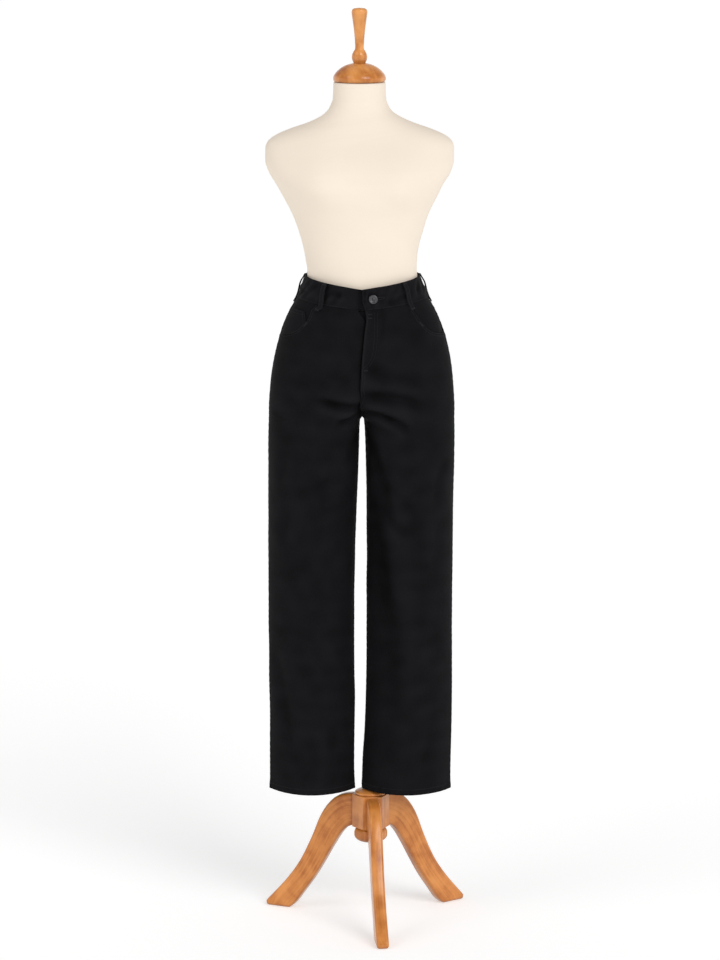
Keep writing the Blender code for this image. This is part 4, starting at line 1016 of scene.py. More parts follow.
    def fly_painted_light_and_shade(self, side: Side, face: Face, plain: Grid) -> Grid:
        """Painted highlight along the left front's fly edge and painted shade just beyond the J stitch;
        painted shadow on the right front where the fly laps over it.
        """
        if face is Face.BACK:
            return np.zeros(plain.shape[:2])
        up = plain[..., 2]
        away = np.abs(plain[..., 0] - seam_place(up))
        above = smooth_step(self.cut.crotch + 0.02, self.cut.fly_foot, up)
        if side is Side.RIGHT:
            return -above * (0.42 * bell(away, 0.0050) + 0.14 * bell(away, 0.014))
        beyond = bell(away - self.j_width - 0.009, 0.0045) * smooth_step(self.j_bend, self.j_bend + 0.04, up)
        return above * 0.95 * bell(away, 0.0024) - 0.18 * beyond

    def front_edge(self, side: Side, plain: Grid) -> Grid:
        """The left front laps over the right one down the centre, most at the fly."""
        up = plain[..., 2]
        away = np.abs(plain[..., 0] - seam_place(up))
        lap = smooth_step(self.cut.crotch + 0.010, self.cut.fly_foot, up)
        low_lap = smooth_step(self.cut.crotch, self.cut.crotch + 0.02, up)
        if side is Side.LEFT:
            return self.fly_lip * lap * bell(away, 0.007) + 0.0003 * low_lap
        hollow = self.fly_hollow * (0.35 * low_lap + 0.65 * lap)
        return -hollow * bell(away, 0.0055) - 0.0006 * low_lap * bell(away, 0.012)

    def leg_rows(self) -> Grid:
        """Heights from the hem through the crotch."""
        cut = self.cut
        hem = cut.hem + np.array([0.0, 0.0004, 0.0015, 0.004, 0.008, 0.012, 0.0155, 0.0175, 0.020])
        leg = np.linspace(cut.hem + 0.024, cut.crotch - 0.006, 200)
        turns = np.linspace(0.0, 0.5 * math.pi, 26)
        crotch = cut.crotch + cut.crotch_rise * (1.0 - np.cos(turns))
        return np.concatenate([hem, leg, [cut.crotch - 0.003, cut.crotch - 0.001], crotch])

    def make_fronts(self) -> None:
        """Both fronts, with the pocket mouth cut out of the top outer corner."""
        share = shell_columns()
        starts = np.concatenate([np.linspace(0.0, 0.20, 9), np.linspace(0.22, 0.369, 26)])
        mouth = mouth_height(starts)
        top = self.cut.waist_seam + self.tuck_reach
        rows = np.concatenate([self.leg_rows(), np.linspace(1.140, 1.205, 16), mouth, [top]])
        start = np.concatenate([np.zeros(len(rows) - len(mouth) - 1), starts, starts[-1:]])
        across = start[:, None] + (1.0 - start[:, None]) * share[None, :]
        height = np.repeat(rows[:, None], len(share), axis=1)
        for side, seed in ((Side.RIGHT, 11), (Side.LEFT, 23)):
            self.shell("front_panel_" + WORDS[side], side, Face.FRONT, across, height, seed)

    def yoke_seam(self, across: Grid) -> Grid:
        """Height of the yoke's seam."""
        share = np.cos(0.5 * math.pi * across) ** 2
        return self.cut.waist_seam - self.yoke_side - (self.yoke_centre - self.yoke_side) * (1.0 - share)

    def make_backs(self) -> None:
        """Both backs up to the yoke's seam, and both yokes."""
        share = shell_columns()
        seam = self.yoke_seam(share)
        leg = self.leg_rows()
        parts = np.concatenate([np.linspace(0.04, 0.94, 20), [0.97, 0.985, 0.995]])
        low = leg[-1]
        for side, seed in ((Side.RIGHT, 37), (Side.LEFT, 41)):
            rise = low + (seam - low)[None, :] * parts[:, None]
            under = seam[None, :] + self.tuck_reach
            height = np.concatenate([np.repeat(leg[:, None], len(share), axis=1), rise, under])
            across = np.repeat(share[None, :], len(height), axis=0)
            self.shell("back_panel_" + WORDS[side], side, Face.BACK, across, height, seed)
            rows = np.concatenate([[0.0, 0.012, 0.03], np.linspace(0.06, 0.995, 22)])
            height = seam[None, :] + (self.cut.waist_seam - seam)[None, :] * rows[:, None]
            over = np.full((1, len(share)), self.cut.waist_seam + self.tuck_reach)
            height = np.concatenate([height, over])
            across = np.repeat(share[None, :], len(height), axis=0)
            self.shell("back_yoke_" + WORDS[side], side, Face.BACK, across, height, seed + 5)


@dataclass
class Pockets:
    """Front pocket facings, coin pocket and back patch pockets."""
    cut: Cut
    facing_drop: float = 0.0026
    facing_thick: float = 0.0012
    facing_tuck: float = 0.045
    facing_foot: float = 1.199
    facing_low_end: float = 0.300
    facing_hide: float = 0.005
    facing_fade: float = 0.026
    facing_over: float = 0.0016
    coin_top: float = 1.2600
    coin_foot: float = 1.2010
    coin_reach: float = 0.1100
    coin_start: float = 0.050
    coin_thick: float = 0.0012
    coin_lift: float = 0.0008
    patch_top: float = 1.176
    patch_foot: float = 1.040
    patch_point: float = 0.014
    patch_top_half: float = 0.0680
    patch_foot_half: float = 0.0590
    patch_place: float = 0.0840
    patch_thick: float = 0.0013
    patch_lift: float = 0.0011

    def facing_point(self, side: Side, across: Grid, height: Grid, lift: float) -> Grid:
        """Points of a facing, flush at the side seam and under the panel at the mouth."""
        above = height - mouth_height(across)
        depth = self.facing_drop * (1.0 - smooth_step(self.facing_hide, self.facing_fade, above))
        points = self.cut.point(side, Face.FRONT, across, height, lift - depth)
        points[..., 1] = np.minimum(points[..., 1], self.cut.shift[1] + self.cut.gap)
        return points

    def make_facings(self) -> None:
        """The facing inside each front pocket's mouth."""
        rows = np.linspace(self.facing_foot, self.cut.waist_seam + self.facing_over, 30)
        share = np.linspace(0.0, 1.0, 34)
        end = np.linspace(self.facing_low_end, POCKET_MOUTH[-1].across + self.facing_tuck, len(rows))
        for side in Side:
            across = end[:, None] * share[None, :]
            height = np.repeat(rows[:, None], len(share), axis=1)
            outer = self.facing_point(side, across, height, 0.0)
            inner = self.facing_point(side, across, height, -self.facing_thick)
            word = WORDS[side]
            make_sheet("pocket_facing_" + word, outer, inner, TWILL, "front_panel_" + word)

    def coin_grid(self, lift: float) -> Grid:
        """Points of the coin pocket at a lift."""
        rows = np.linspace(self.coin_foot, self.coin_top, 26)
        end = self.cut.across_at(Side.RIGHT, Face.FRONT, np.full_like(rows, -self.coin_reach), rows)
        across = self.coin_start + (end[:, None] - self.coin_start) * np.linspace(0.0, 1.0, 26)[None, :]
        height = np.repeat(rows[:, None], 26, axis=1)
        return self.facing_point(Side.RIGHT, across, height, lift)

    def make_coin_pocket(self) -> None:
        """Coin pocket on the right facing."""
        outer = self.coin_grid(self.coin_lift + self.coin_thick)
        inner = self.coin_grid(self.coin_lift)
        make_sheet("coin_pocket", outer, inner, BAND_TWILL, "pocket_facing_right")

    def patch_place_at(self, side: Side, out: Grid, down: Grid) -> tuple[Grid, Grid]:
        """Across and height of a place on a back pocket, both from -1 to 1 across and 0 to 1 down."""
        height = self.patch_top + (self.patch_foot + self.patch_point * np.abs(out) - self.patch_top) * down
        half = self.patch_top_half + (self.patch_foot_half - self.patch_top_half) * down
        x = side.value * (self.patch_place + half * out)
        return self.cut.across_at(side, Face.BACK, x, height), height

    def make_back_pockets(self) -> None:
        """Back patch pockets, pointed at the foot."""
        down = np.linspace(0.0, 1.0, 46)[:, None]
        out = np.linspace(-1.0, 1.0, 47)[None, :]
        for side in Side:
            across, height = self.patch_place_at(side, out, down)
            edge = np.minimum(1.0 - np.abs(out), np.minimum(down, 1.0 - down)) * self.patch_top_half
            full = 0.0010 * smooth_step(0.004, 0.030, edge) + 0.0 * across
            outer = self.cut.point(side, Face.BACK, across, height, self.patch_lift + self.patch_thick + full)
            inner = self.cut.point(side, Face.BACK, across, height, self.patch_lift)
            word = WORDS[side]
            make_sheet("back_pocket_" + word, outer, inner, BAND_TWILL, "back_panel_" + word, 0.0005)


@dataclass
class Closure:
    """Waistband, fly shield, belt loops, button and buttonhole."""
    cut: Cut
    thick: float = 0.0028
    proud: float = 0.0008
    dent: float = 0.0014
    back_dent: float = 0.0006
    lap: float = 0.036
    lap_ramp: float = 0.026
    lap_full: float = -0.002
    lap_drop: float = 0.0034
    right_end: float = 0.615
    shield_from: float = -0.014
    shield_to: float = 0.034
    shield_foot: float = 1.096
    shield_low: float = 1.118
    shield_full: float = 1.175
    shield_narrow: float = 0.022
    shield_drop: float = 0.0055
    shield_thick: float = 0.0012
    loop_width: float = 0.0110
    loop_thick: float = 0.0016
    loop_stand: float = 0.0028
    loop_below: float = 0.0125
    loop_shade: float = 0.034
    # Painted light on the band: painted shadow beside the front loops, a painted highlight at the left end,
    # and painted shade in the dents.
    shade_deep: float = 0.48
    shade_width: float = 0.016
    end_painted_highlight: float = 0.90
    dent_painted_shade: float = 170.0
    loop_ridge: float = 0.00035
    loop_valley: float = 0.0002
    loop_fullness: float = 2.2
    button_place: float = 0.0215
    button_height: float = 1.2985
    button_radius: float = 0.0088

    def dents(self, face: Face, rows: Grid, walk: float) -> Grid:
        """Soft dents that the band has between its stitch rows, down one column."""
        part = (rows - self.cut.waist_seam) / (self.cut.waist_top - self.cut.waist_seam)
        between = np.sin(math.pi * np.clip(part, 0.0, 1.0)) ** 0.6
        deep = self.dent if face is Face.FRONT else self.back_dent
        return deep * between * soft_noise(np.array(walk), part * 0.045, 5, 0.075, 0.016)

    def band_shade(self, side: Side, face: Face, across: float, rows: Grid) -> Grid:
        """Painted shadow on the band beside its front loops, on the side towards the button, and a painted
        highlight at its left end.
        """
        shade = np.zeros(len(rows))
        if face is Face.BACK:
            return shade
        part = (rows - self.cut.waist_seam) / (self.cut.waist_top - self.cut.waist_seam)
        for loop in LOOPS:
            if loop.side is side and loop.face is face:
                beside = loop.across + loop.lean * (1.0 - part) + self.loop_shade
                shade = shade - self.shade_deep * bell(across - beside, self.shade_width)
        if side is Side.LEFT:
            shade = shade + self.end_painted_highlight * bell(1.0 - across, self.shade_width)
        return shade

    def make_band(self) -> None:
        """One strip round the waist, its left end over its right end."""
        cut = self.cut
        inside = np.linspace(0.0035, cut.waist_top - cut.waist_seam - 0.0025, 16)
        rows = cut.waist_seam + np.concatenate([[0.0, 0.0012], inside,
                                                [cut.waist_top - cut.waist_seam - 0.0009,
                                                 cut.waist_top - cut.waist_seam]])
        share = np.linspace(0.0, 1.0, 110)
        stops = [(Side.LEFT, Face.FRONT, a) for a in share[::-1]]
        stops += [(Side.LEFT, Face.BACK, a) for a in share[1:]]
        stops += [(Side.RIGHT, Face.BACK, a) for a in share[::-1][1:]]
        stops += [(Side.RIGHT, Face.FRONT, a) for a in np.linspace(0.01, self.right_end, 66)]
        walks = np.linspace(0.0, 0.75, len(stops))
        places = np.linspace(-self.lap_ramp, self.lap, 34)
        # Colour: painted shade in the dents, the painted shadows and highlight from band_shade, and painted
        # shade where the right end dips under the left end.
        wear = [0.5 + self.dent_painted_shade * self.dents(stop[1], rows, walk) + self.band_shade(*stop, rows)
                for stop, walk in zip(stops, walks)]
        wear += [np.full(len(rows), 0.5 - 0.40 * bell(place + 0.003, 0.005)) for place in places]
        grids = []
        for lift in (self.proud, self.proud - self.thick):
            columns = [cut.point(side, face, across, rows, lift + self.dents(face, rows, walk))
                       for (side, face, across), walk in zip(stops, walks)]
            for place in places:
                drop = self.lap_drop * smooth_step(-self.lap_ramp, self.lap_full, place)
                columns.append(cut.centre(place, rows, lift - drop))
            grids.append(np.stack(columns, axis=1))
        make_sheet("waistband", *grids, BAND_TWILL, "form_body", 0.0008, np.stack(wear, axis=1))

    def make_shield(self) -> None:
        """Strip behind the opening of the fly, narrower and deeper at its foot, behind the creases."""
        rows = np.linspace(self.shield_foot, self.cut.waist_seam - self.cut.gap, 50)[:, None]
        low = 1.0 - smooth_step(self.shield_low, self.shield_full, rows)
        width = self.shield_to - self.shield_from - self.shield_narrow * low
        place = self.shield_from + width * np.linspace(0.0, 1.0, 16)[None, :]
        drop = self.shield_drop * (1.0 + low) + place * 0.0
        outer = self.cut.centre(place, rows, -drop)
        inner = self.cut.centre(place, rows, -drop - self.shield_thick)
        make_sheet("fly_shield", outer, inner, TWILL, "front_panel_left")

    def loop_lines(self, loop: Loop, count: int) -> tuple[Grid, Grid, Grid]:
        """Middle line of a belt loop's underside, its normals and its sideways directions."""
        part = np.linspace(0.0, 1.0, count)
        foot = self.cut.waist_seam - self.loop_below
        height = foot + (self.cut.waist_top - foot) * part
        across = loop.across + loop.lean * (1.0 - part)
        middle = self.cut.point(loop.side, loop.face, across, height)
        normal = self.cut.normal(loop.side, loop.face, across, height)
        way = np.cross(normal, np.gradient(middle, axis=0))
        way = unit(way)
        stand = self.proud + self.cut.gap \
            + self.loop_stand * np.clip(np.sin(math.pi * part ** 1.7), 0.0, 1.0) ** self.loop_fullness
        return middle + normal * stand[:, None], normal, way

    def make_loops(self) -> None:
        """Five straps, thicker along their folded edges."""
        for loop in LOOPS:
            line, normal, way = self.loop_lines(loop, 40)
            places = np.linspace(-0.5, 0.5, 11)
            grids = []
            for top in (True, False):
                columns = []
                for place in places:
                    ridge = self.loop_ridge * bell(abs(place) - 0.30, 0.12)
                    ridge = ridge - self.loop_valley * bell(place, 0.10)
                    lift = self.loop_thick + ridge if top else 0.0
                    columns.append(line + way * (self.loop_width * place) + normal * lift)
                grids.append(np.stack(columns, axis=1))
            make_sheet(loop.name, *grids, LOOP_TWILL, "waistband", 0.0005)

    def button_seat(self) -> tuple[Vector, Vector]:
        """Where the button sits and which way it faces."""
        across = self.cut.across_at(Side.LEFT, Face.FRONT, self.button_place, self.button_height)
        seat = self.cut.point(Side.LEFT, Face.FRONT, across, self.button_height, self.proud + self.cut.gap)
        return Vector(seat), Vector(self.cut.normal(Side.LEFT, Face.FRONT, across, self.button_height))

    def make_button(self) -> None:
        """Shank button: a flange, a raised rolled ring, a dished face and a small boss."""
        profile = tuple(Turn(*row) for row in (
            (0.0, 0.003), (0.0012, 0.003), (0.0012, 0.006), (0.0016, 0.008), (0.0024, self.button_radius),
            (0.0033, 0.0086), (0.0039, 0.0078), (0.004, 0.007), (0.0037, 0.0063), (0.0029, 0.0056),
            (0.0026, 0.0046), (0.0026, 0.003), (0.0032, 0.0026), (0.0034, 0.0018), (0.003, 0.0012),
            (0.0026, 0.001), (0.0025, 0.0004),
        ))
        piece = Bench.turned("button_metalwork", profile, Vector((0.0, 0.0, 0.0)), 48)
        seat, way = self.button_seat()
        piece.rotation_mode = "QUATERNION"
        piece.rotation_quaternion = way.to_track_quat("Z", "Y")
        piece.location = seat
        Bench.choose(piece)
        Bench.fix_place()
        settle(piece, GUNMETAL, "button")


@dataclass
class Sewing:
    """Topstitching, bartacks and the buttonhole, laid on the cloth that was built before."""
    cut: Cut
    panels: Panels
    pockets: Pockets
    closure: Closure
    length: float = 0.0026
    pitch: float = 0.0032
    radius: float = 0.00034
    edge: float = 0.0016
    twin: float = 0.0062
    reach: float = 0.012
    tack_pitch: float = 0.00062
    tack_width: float = 0.0021
    uneven: float = 0.00008
    stray: float = 0.00005
    longest: float = 0.006
    hem_stitch: float = 0.0115
    hole_half: float = 0.0118
    hole_bow: float = 0.0021

    def __post_init__(self) -> None:
        """Start with no stitches."""
        self.trees: dict[str, BVHTree] = {}
        self.runs: list[tuple[Grid, Grid, Grid]] = []
        self.dice = np.random.default_rng(71)

    def tree(self, host: str) -> BVHTree:
        """The cloth that stitches are laid on."""
        if host not in self.trees:
            cloth = bpy.data.objects[host]
            faces = [tuple(face.vertices) for face in cloth.data.polygons]
            self.trees[host] = BVHTree.FromPolygons(mesh_points(cloth).tolist(), faces)
        return self.trees[host]

    def land(self, host: str, places: Grid, out: Grid) -> tuple[Grid, Grid]:
        """Drop places onto the cloth along a direction. What misses it is not a number."""
        found = np.full_like(places, np.nan)
        faces = np.full_like(places, np.nan)
        for row, (place, way) in enumerate(zip(places, out)):
            hit, normal, _, _ = self.tree(host).ray_cast(Vector(place + way * self.reach), Vector(-way),
                                                         2.0 * self.reach)
            if hit is not None:
                found[row], faces[row] = hit, normal
        return found, faces

    @staticmethod
    def spread(path: Grid, ways: Grid, walk: Grid) -> tuple[Grid, Grid]:
        """Points of a path and their outward directions at lengths along it."""
        lengths = arc_lengths(path, 0)
        places = np.stack([np.interp(walk, lengths, path[:, axis]) for axis in range(3)], axis=1)
        out = np.stack([np.interp(walk, lengths, ways[:, axis]) for axis in range(3)], axis=1)
        return places, unit(out)

    @staticmethod
    def beside(path: Grid, ways: Grid, distance: float) -> Grid:
        """A path moved sideways, to the left of its run as seen from outside."""
        way = np.cross(ways, np.gradient(path, axis=0))
        return path + distance * way / np.linalg.norm(way, axis=-1, keepdims=True)

    def row(self, host: str, path: Grid, ways: Grid, distances: Sequence[float],
            trim: float = 0.002) -> None:
        """Rows of stitches beside a path.

        Args:
            host: The cloth they lie on.
            path, ways: The path and its outward directions.
            distances: How far each row lies to the left of the path.
            trim: How much is left bare at each end.
        """
        for distance in distances:
            line = self.beside(path, ways, distance)
            total = float(np.linalg.norm(np.diff(line, axis=0), axis=1).sum())
            starts = np.arange(trim, total - trim - self.length, self.pitch)
            starts = starts + self.dice.normal(0.0, self.uneven, len(starts))
            ends = starts + self.length * self.dice.uniform(0.94, 1.04, len(starts))
            pair = []
            for walk in (starts, ends):
                places, out = self.spread(line, ways, walk)
                places = places + self.dice.normal(0.0, self.stray, places.shape)
                pair.append(self.land(host, places, out))
            self.keep(pair[0][0], pair[1][0], pair[0][1])

    def tack(self, host: str, path: Grid, ways: Grid, width: Optional[float] = None) -> None:
        """A bartack: close stitches across a short path."""
        total = float(np.linalg.norm(np.diff(path, axis=0), axis=1).sum())
        places, out = self.spread(path, ways, np.arange(0.0, total, self.tack_pitch))
        side = np.cross(out, np.gradient(places, axis=0))
        half = 0.5 * (width or self.tack_width) * side / np.linalg.norm(side, axis=1, keepdims=True)
        first = self.land(host, places - half, out)
        last = self.land(host, places + half, out)
        self.keep(first[0], last[0], first[1])

    def keep(self, first: Grid, last: Grid, out: Grid) -> None:
        """Keep the stitches whose ends both lie on the cloth."""
        whole = ~np.isnan(first + last + out).any(axis=1)
        whole &= np.linalg.norm(last - first, axis=1) < self.longest
        self.runs.append((first[whole], last[whole], out[whole]))

    def sew(self, name: str, finish: Finish) -> Piece:
        """Make the kept stitches one piece: short four-sided threads that dip at their ends."""
        first, last, out = (np.concatenate([run[part] for run in self.runs]) for part in range(3))
        self.runs = []
        run = last - first
        side = np.cross(run, out)
        side = unit(side)
        rings = []
        threads = ((-0.04, 0.45, -0.5), (0.20, 1.0, 0.35), (0.80, 1.0, 0.35), (1.04, 0.45, -0.5))
        for part, size, rise in threads:
            middle = first + run * part + out * (rise * self.radius)
            for turn in (0.25, 0.75, 1.25, 1.75):
                way = math.cos(turn * math.pi) * side + math.sin(turn * math.pi) * out
                rings.append(middle + way * (size * self.radius * 1.2))
        points = np.stack(rings, axis=1).reshape(-1, 3)
        around = [(r * 4 + c, r * 4 + (c + 1) % 4, r * 4 + 4 + (c + 1) % 4, r * 4 + 4 + c)
                  for r in range(3) for c in range(4)]
        one = np.array(around + [(3, 2, 1, 0), (12, 13, 14, 15)])
        quads = (one[None] + 16 * np.arange(len(first))[:, None, None]).reshape(-1, 4)
        piece = shown_mesh(name, points, quads.tolist())
        bm = bmesh.new()
        bm.from_mesh(piece.data)
        bmesh.ops.recalc_face_normals(bm, faces=bm.faces)
        bm.to_mesh(piece.data)
        bm.free()
        LOG.info("%s: %d stitches", name, len(first))
        return settle(piece, finish)

    def traced(self, side: Side, face: Face, across: Grid, height: Grid) -> tuple:
        """A line on the trousers and its outward directions."""
        across, height = np.broadcast_arrays(np.asarray(across, dtype=float), np.asarray(height, dtype=float))
        return self.cut.point(side, face, across, height), self.cut.normal(side, face, across, height)

    def seam(self, host: str, side: Side, face: Face, across: Grid, height: Grid,
             distances: Sequence[float] = (0.0,), trim: float = 0.002) -> None:
        """Rows of stitches beside a line on the trousers."""
        self.row(host, *self.traced(side, face, across, height), distances, trim)

    def on_front(self, x: Grid, height: Grid) -> tuple:
        """A line on the left front by its X, and its outward directions."""
        return self.traced(Side.LEFT, Face.FRONT, *self.cut.spot(Side.LEFT, Face.FRONT, x, height))

    def on_patch(self, side: Side, out: Grid, down: Grid) -> tuple:
        """A line on a back pocket and its outward directions."""
        return self.traced(side, Face.BACK, *self.pockets.patch_place_at(side, out, down))

    def sew_fly(self, host: str) -> None:
        """The left front's centre edge, the fly's J and its bartacks."""
        height = np.linspace(self.cut.crotch + 0.012, self.cut.notch_top - 0.002, 160)
        path, ways = self.on_front(seam_place(height), height)
        self.row(host, path, ways, [-self.edge])
        self.row(host, path[:70], ways[:70], [-self.twin])
        for inset in (0.0, 0.0055):
            path = self.panels.fly_line(inset)
            self.row(host, path, np.repeat([[0.0, -1.0, 0.0]], len(path), axis=0), [0.0])
        for start, high in ((0.0130, 1.2556), (0.0130, 1.2484), (0.0045, self.panels.j_foot - 0.001)):
            self.tack(host, *self.on_front(start + np.linspace(0.0, 0.0080, 12), high))

    def sew_fronts(self) -> None:
        """Pocket mouths, fly, rise and hems of the fronts."""
        for side in Side:
            host = "front_panel_" + WORDS[side] + "_cloth"
            across = np.linspace(0.012, POCKET_MOUTH[-1].across, 120)
            height = mouth_height(across)
            path, ways = self.traced(side, Face.FRONT, across, height)
            self.row(host, path, ways, [side.value * self.edge, side.value * self.twin], 0.001)
            below = self.beside(path, ways, side.value * 0.004)
            for end in (slice(100, 108), slice(3, 11)):
                self.tack(host, below[end], ways[end])
            self.seam(host, side, Face.FRONT, np.linspace(0.01, 0.99, 160), self.cut.hem + self.hem_stitch)
            if side is Side.LEFT:
                self.sew_fly(host)
            self.sew("front_" + WORDS[side] + "_stitching", THREAD)

    def sew_backs(self) -> None:
        """Inside leg seams, rise, hems and yoke seams of the backs."""
        cut = self.cut
        across = np.linspace(0.01, 0.998, 160)
        yoke = float(self.panels.yoke_seam(np.array(1.0)))
        for side in Side:
            rows = [side.value * self.edge, side.value * self.twin]
            on = ("back_panel_" + WORDS[side] + "_cloth", side, Face.BACK)
            self.seam(*on, np.linspace(0.01, 0.99, 160), cut.hem + self.hem_stitch)
            self.seam(*on, 0.997, np.linspace(cut.hem + 0.004, cut.crotch - 0.006, 320), rows)
            if side is Side.LEFT:
                self.seam(*on, 0.997, np.linspace(cut.crotch + 0.016, yoke - 0.002, 160), rows)
            self.sew("back_" + WORDS[side] + "_stitching", THREAD)
            on = ("back_yoke_" + WORDS[side] + "_cloth", side, Face.BACK)
            self.seam(*on, across, self.panels.yoke_seam(across), rows)
            if side is Side.LEFT:
                self.seam(*on, 0.997, np.linspace(yoke + 0.002, cut.waist_seam - 0.002, 60), rows)
            self.sew("yoke_" + WORDS[side] + "_stitching", THREAD)

    def sew_pockets(self) -> None:
        """Back patch pockets and the coin pocket."""
        for side in Side:
            host = "back_pocket_" + WORDS[side] + "_cloth"
            for inset in (self.edge, self.twin + 0.0012):
                part = inset / self.pockets.patch_top_half
                down = np.linspace(0.004, 1.0 - part, 60)
                foot = np.linspace(1.0 - part, -1.0 + part, 90)
                out = np.concatenate([np.full(60, 1.0 - part), foot, np.full(60, -1.0 + part)])
                level = np.concatenate([down, np.full(90, 1.0 - part), down[::-1]])
                self.row(host, *self.on_patch(side, out, level), [0.0])
            for level in (0.018, 0.085):
                line = self.on_patch(side, np.linspace(-0.985, 0.985, 90), np.full(90, level))
                self.row(host, *line, [0.0])
            for corner in (-0.955, 0.955):
                line = self.on_patch(side, np.full(12, corner), np.linspace(0.012, 0.075, 12))
                self.tack(host, *line, 0.0028)
            self.sew("back_pocket_" + WORDS[side] + "_stitching", BAND_THREAD)
        grid = self.pockets.coin_grid(0.0)
        ways = np.repeat([[-0.45, -0.9, 0.0]], 26, axis=0)
        self.row("coin_pocket_cloth", grid[-1], ways, [-0.0016, -0.0066], 0.001)
        self.row("coin_pocket_cloth", grid[:, -1], ways, [0.0016, 0.0062], 0.001)
        self.sew("coin_pocket_stitching", BAND_THREAD)

    def sew_closure(self) -> None:
        """Waistband, belt loops and buttonhole."""
        cut, closure = self.cut, self.closure
        host = "waistband_cloth"
        for side in Side:
            for face in Face:
                count = 150 if side is Side.RIGHT and face is Face.FRONT else 220
                across = np.linspace(0.003, 0.993, 220)[:count]
                for height in (cut.waist_seam + 0.0022, cut.waist_top - 0.0024):
                    self.seam(host, side, face, across, height, trim=0.0)
        height = np.linspace(cut.waist_seam + 0.003, cut.waist_top - 0.003, 40)
        self.seam(host, Side.LEFT, Face.FRONT, 0.985, height, trim=0.0)
        turn = np.linspace(0.0, 2.0 * math.pi, 140)
        x = closure.button_place + 0.0100 + self.hole_half * np.cos(turn)
        bow = np.sign(np.sin(turn)) * np.abs(np.sin(turn)) ** 0.45
        height = closure.button_height + self.hole_bow * bow
        across = cut.across_at(Side.LEFT, Face.FRONT, x, height)
        self.tack(host, *self.traced(Side.LEFT, Face.FRONT, across, height), 0.0016)
        self.sew("waistband_stitching", BAND_THREAD)
        for loop in LOOPS:
            host = loop.name + "_cloth"
            line, normal, way = closure.loop_lines(loop, 60)
            middle = line + normal * closure.loop_thick
            for place in (-0.30, 0.30):
                self.row(host, middle + way * (place * closure.loop_width), normal, [0.0], 0.0015)
            for at in (3, 55):
                across = np.linspace(-0.42, 0.42, 14)[:, None] * closure.loop_width
                ways = np.repeat(normal[at][None], 14, axis=0)
                self.tack(host, middle[at] + way[at] * across, ways, 0.0024)
        self.sew("belt_loop_stitching", BAND_THREAD)

    def sew_all(self) -> None:
        """Sew every seam that shows."""
        self.sew_fronts()
        self.sew_backs()
        self.sew_pockets()
        self.sew_closure()


class Bench:
    """Shaping by hand: primitives, extrusions and resizes in edit mode."""

    @staticmethod
    def choose(piece: Piece) -> None:
        """Select one piece alone and make it active."""
        bpy.ops.object.select_all(action="DESELECT")
        piece.select_set(True)
        bpy.context.view_layer.objects.active = piece

    @staticmethod
    def fix_place() -> None:
        """Write the active piece's place, turn and size into its points."""
        bpy.ops.object.transform_apply(location=True, rotation=True, scale=True)

    @staticmethod
    def close_edit() -> None:
        """Turn every face outwards and leave edit mode."""
        bpy.ops.mesh.select_all(action="SELECT")
        bpy.ops.mesh.normals_make_consistent(inside=False)
        bpy.ops.object.mode_set(mode="OBJECT")

    @staticmethod
    def refine(profile: Sequence[Turn], steps: int) -> list[Turn]:
        """A profile with more rings on a smooth curve through its own."""
        heights = np.array([turn.height for turn in profile])
        radii = np.array([turn.radius for turn in profile])
        chord = np.concatenate([[0.0], np.cumsum(np.hypot(np.diff(heights), np.diff(radii)))])
        rows = [Point(float(c), float(h)) for c, h in zip(chord, heights)]
        rims = [Point(float(c), float(r)) for c, r in zip(chord, radii)]
        walk = np.unique(np.concatenate([chord, np.linspace(0.0, chord[-1], steps)]))
        high, wide = smooth_read(rows, "place", walk), smooth_read(rims, "place", walk)
        return [Turn(float(h), float(r)) for h, r in zip(high, wide)]

    @staticmethod
    def turned(name: str, profile: Sequence[Turn], place: Vector, sides: int,
               sharp: float = 35.0) -> Piece:
        """A turned piece: a disc, extruded and resized ring by ring.

        Args:
            name: The piece's name.
            profile: Its rings, from its foot to its top.
            place: Its axis at height 0.
            sides: Points round a ring.
            sharp: Edges over this angle stay crisp.

        Returns:
            The piece, at the origin.
        """
        bpy.ops.object.select_all(action="DESELECT")
        first = profile[0]
        bpy.ops.mesh.primitive_circle_add(vertices=sides, radius=first.radius, fill_type="NGON",
                                          location=(place.x, place.y, place.z + first.height))
        piece = bpy.context.object
        piece.name = piece.data.name = name
        Bench.fix_place()
        bpy.ops.object.mode_set(mode="EDIT")
        bpy.ops.mesh.select_all(action="SELECT")
        for low, high in zip(profile, profile[1:]):
            bpy.ops.mesh.extrude_region_move(
                TRANSFORM_OT_translate={"value": (0.0, 0.0, high.height - low.height)})
            size = high.radius / low.radius
            bpy.ops.transform.resize(value=(size, size, 1.0),
                                     center_override=(place.x, place.y, place.z + high.height))
        Bench.close_edit()
        bpy.ops.object.shade_smooth_by_angle(angle=math.radians(sharp))
        return piece

    @staticmethod
    def grain(piece: Piece, along: Grid, side: Grid) -> None:
        """Write the grain's UV map: metres along the grain, and metres beside it."""
        write_uv(piece.data, "grain", np.stack([along, side], axis=1))

    @staticmethod
    def upright_grain(piece: Piece) -> None:
        """Grain that runs straight up through a turned or sawn piece."""
        points = mesh_points(piece)
        Bench.grain(piece, points[:, 2] + 0.25 * points[:, 1], points[:, 0] + 0.45 * points[:, 1])


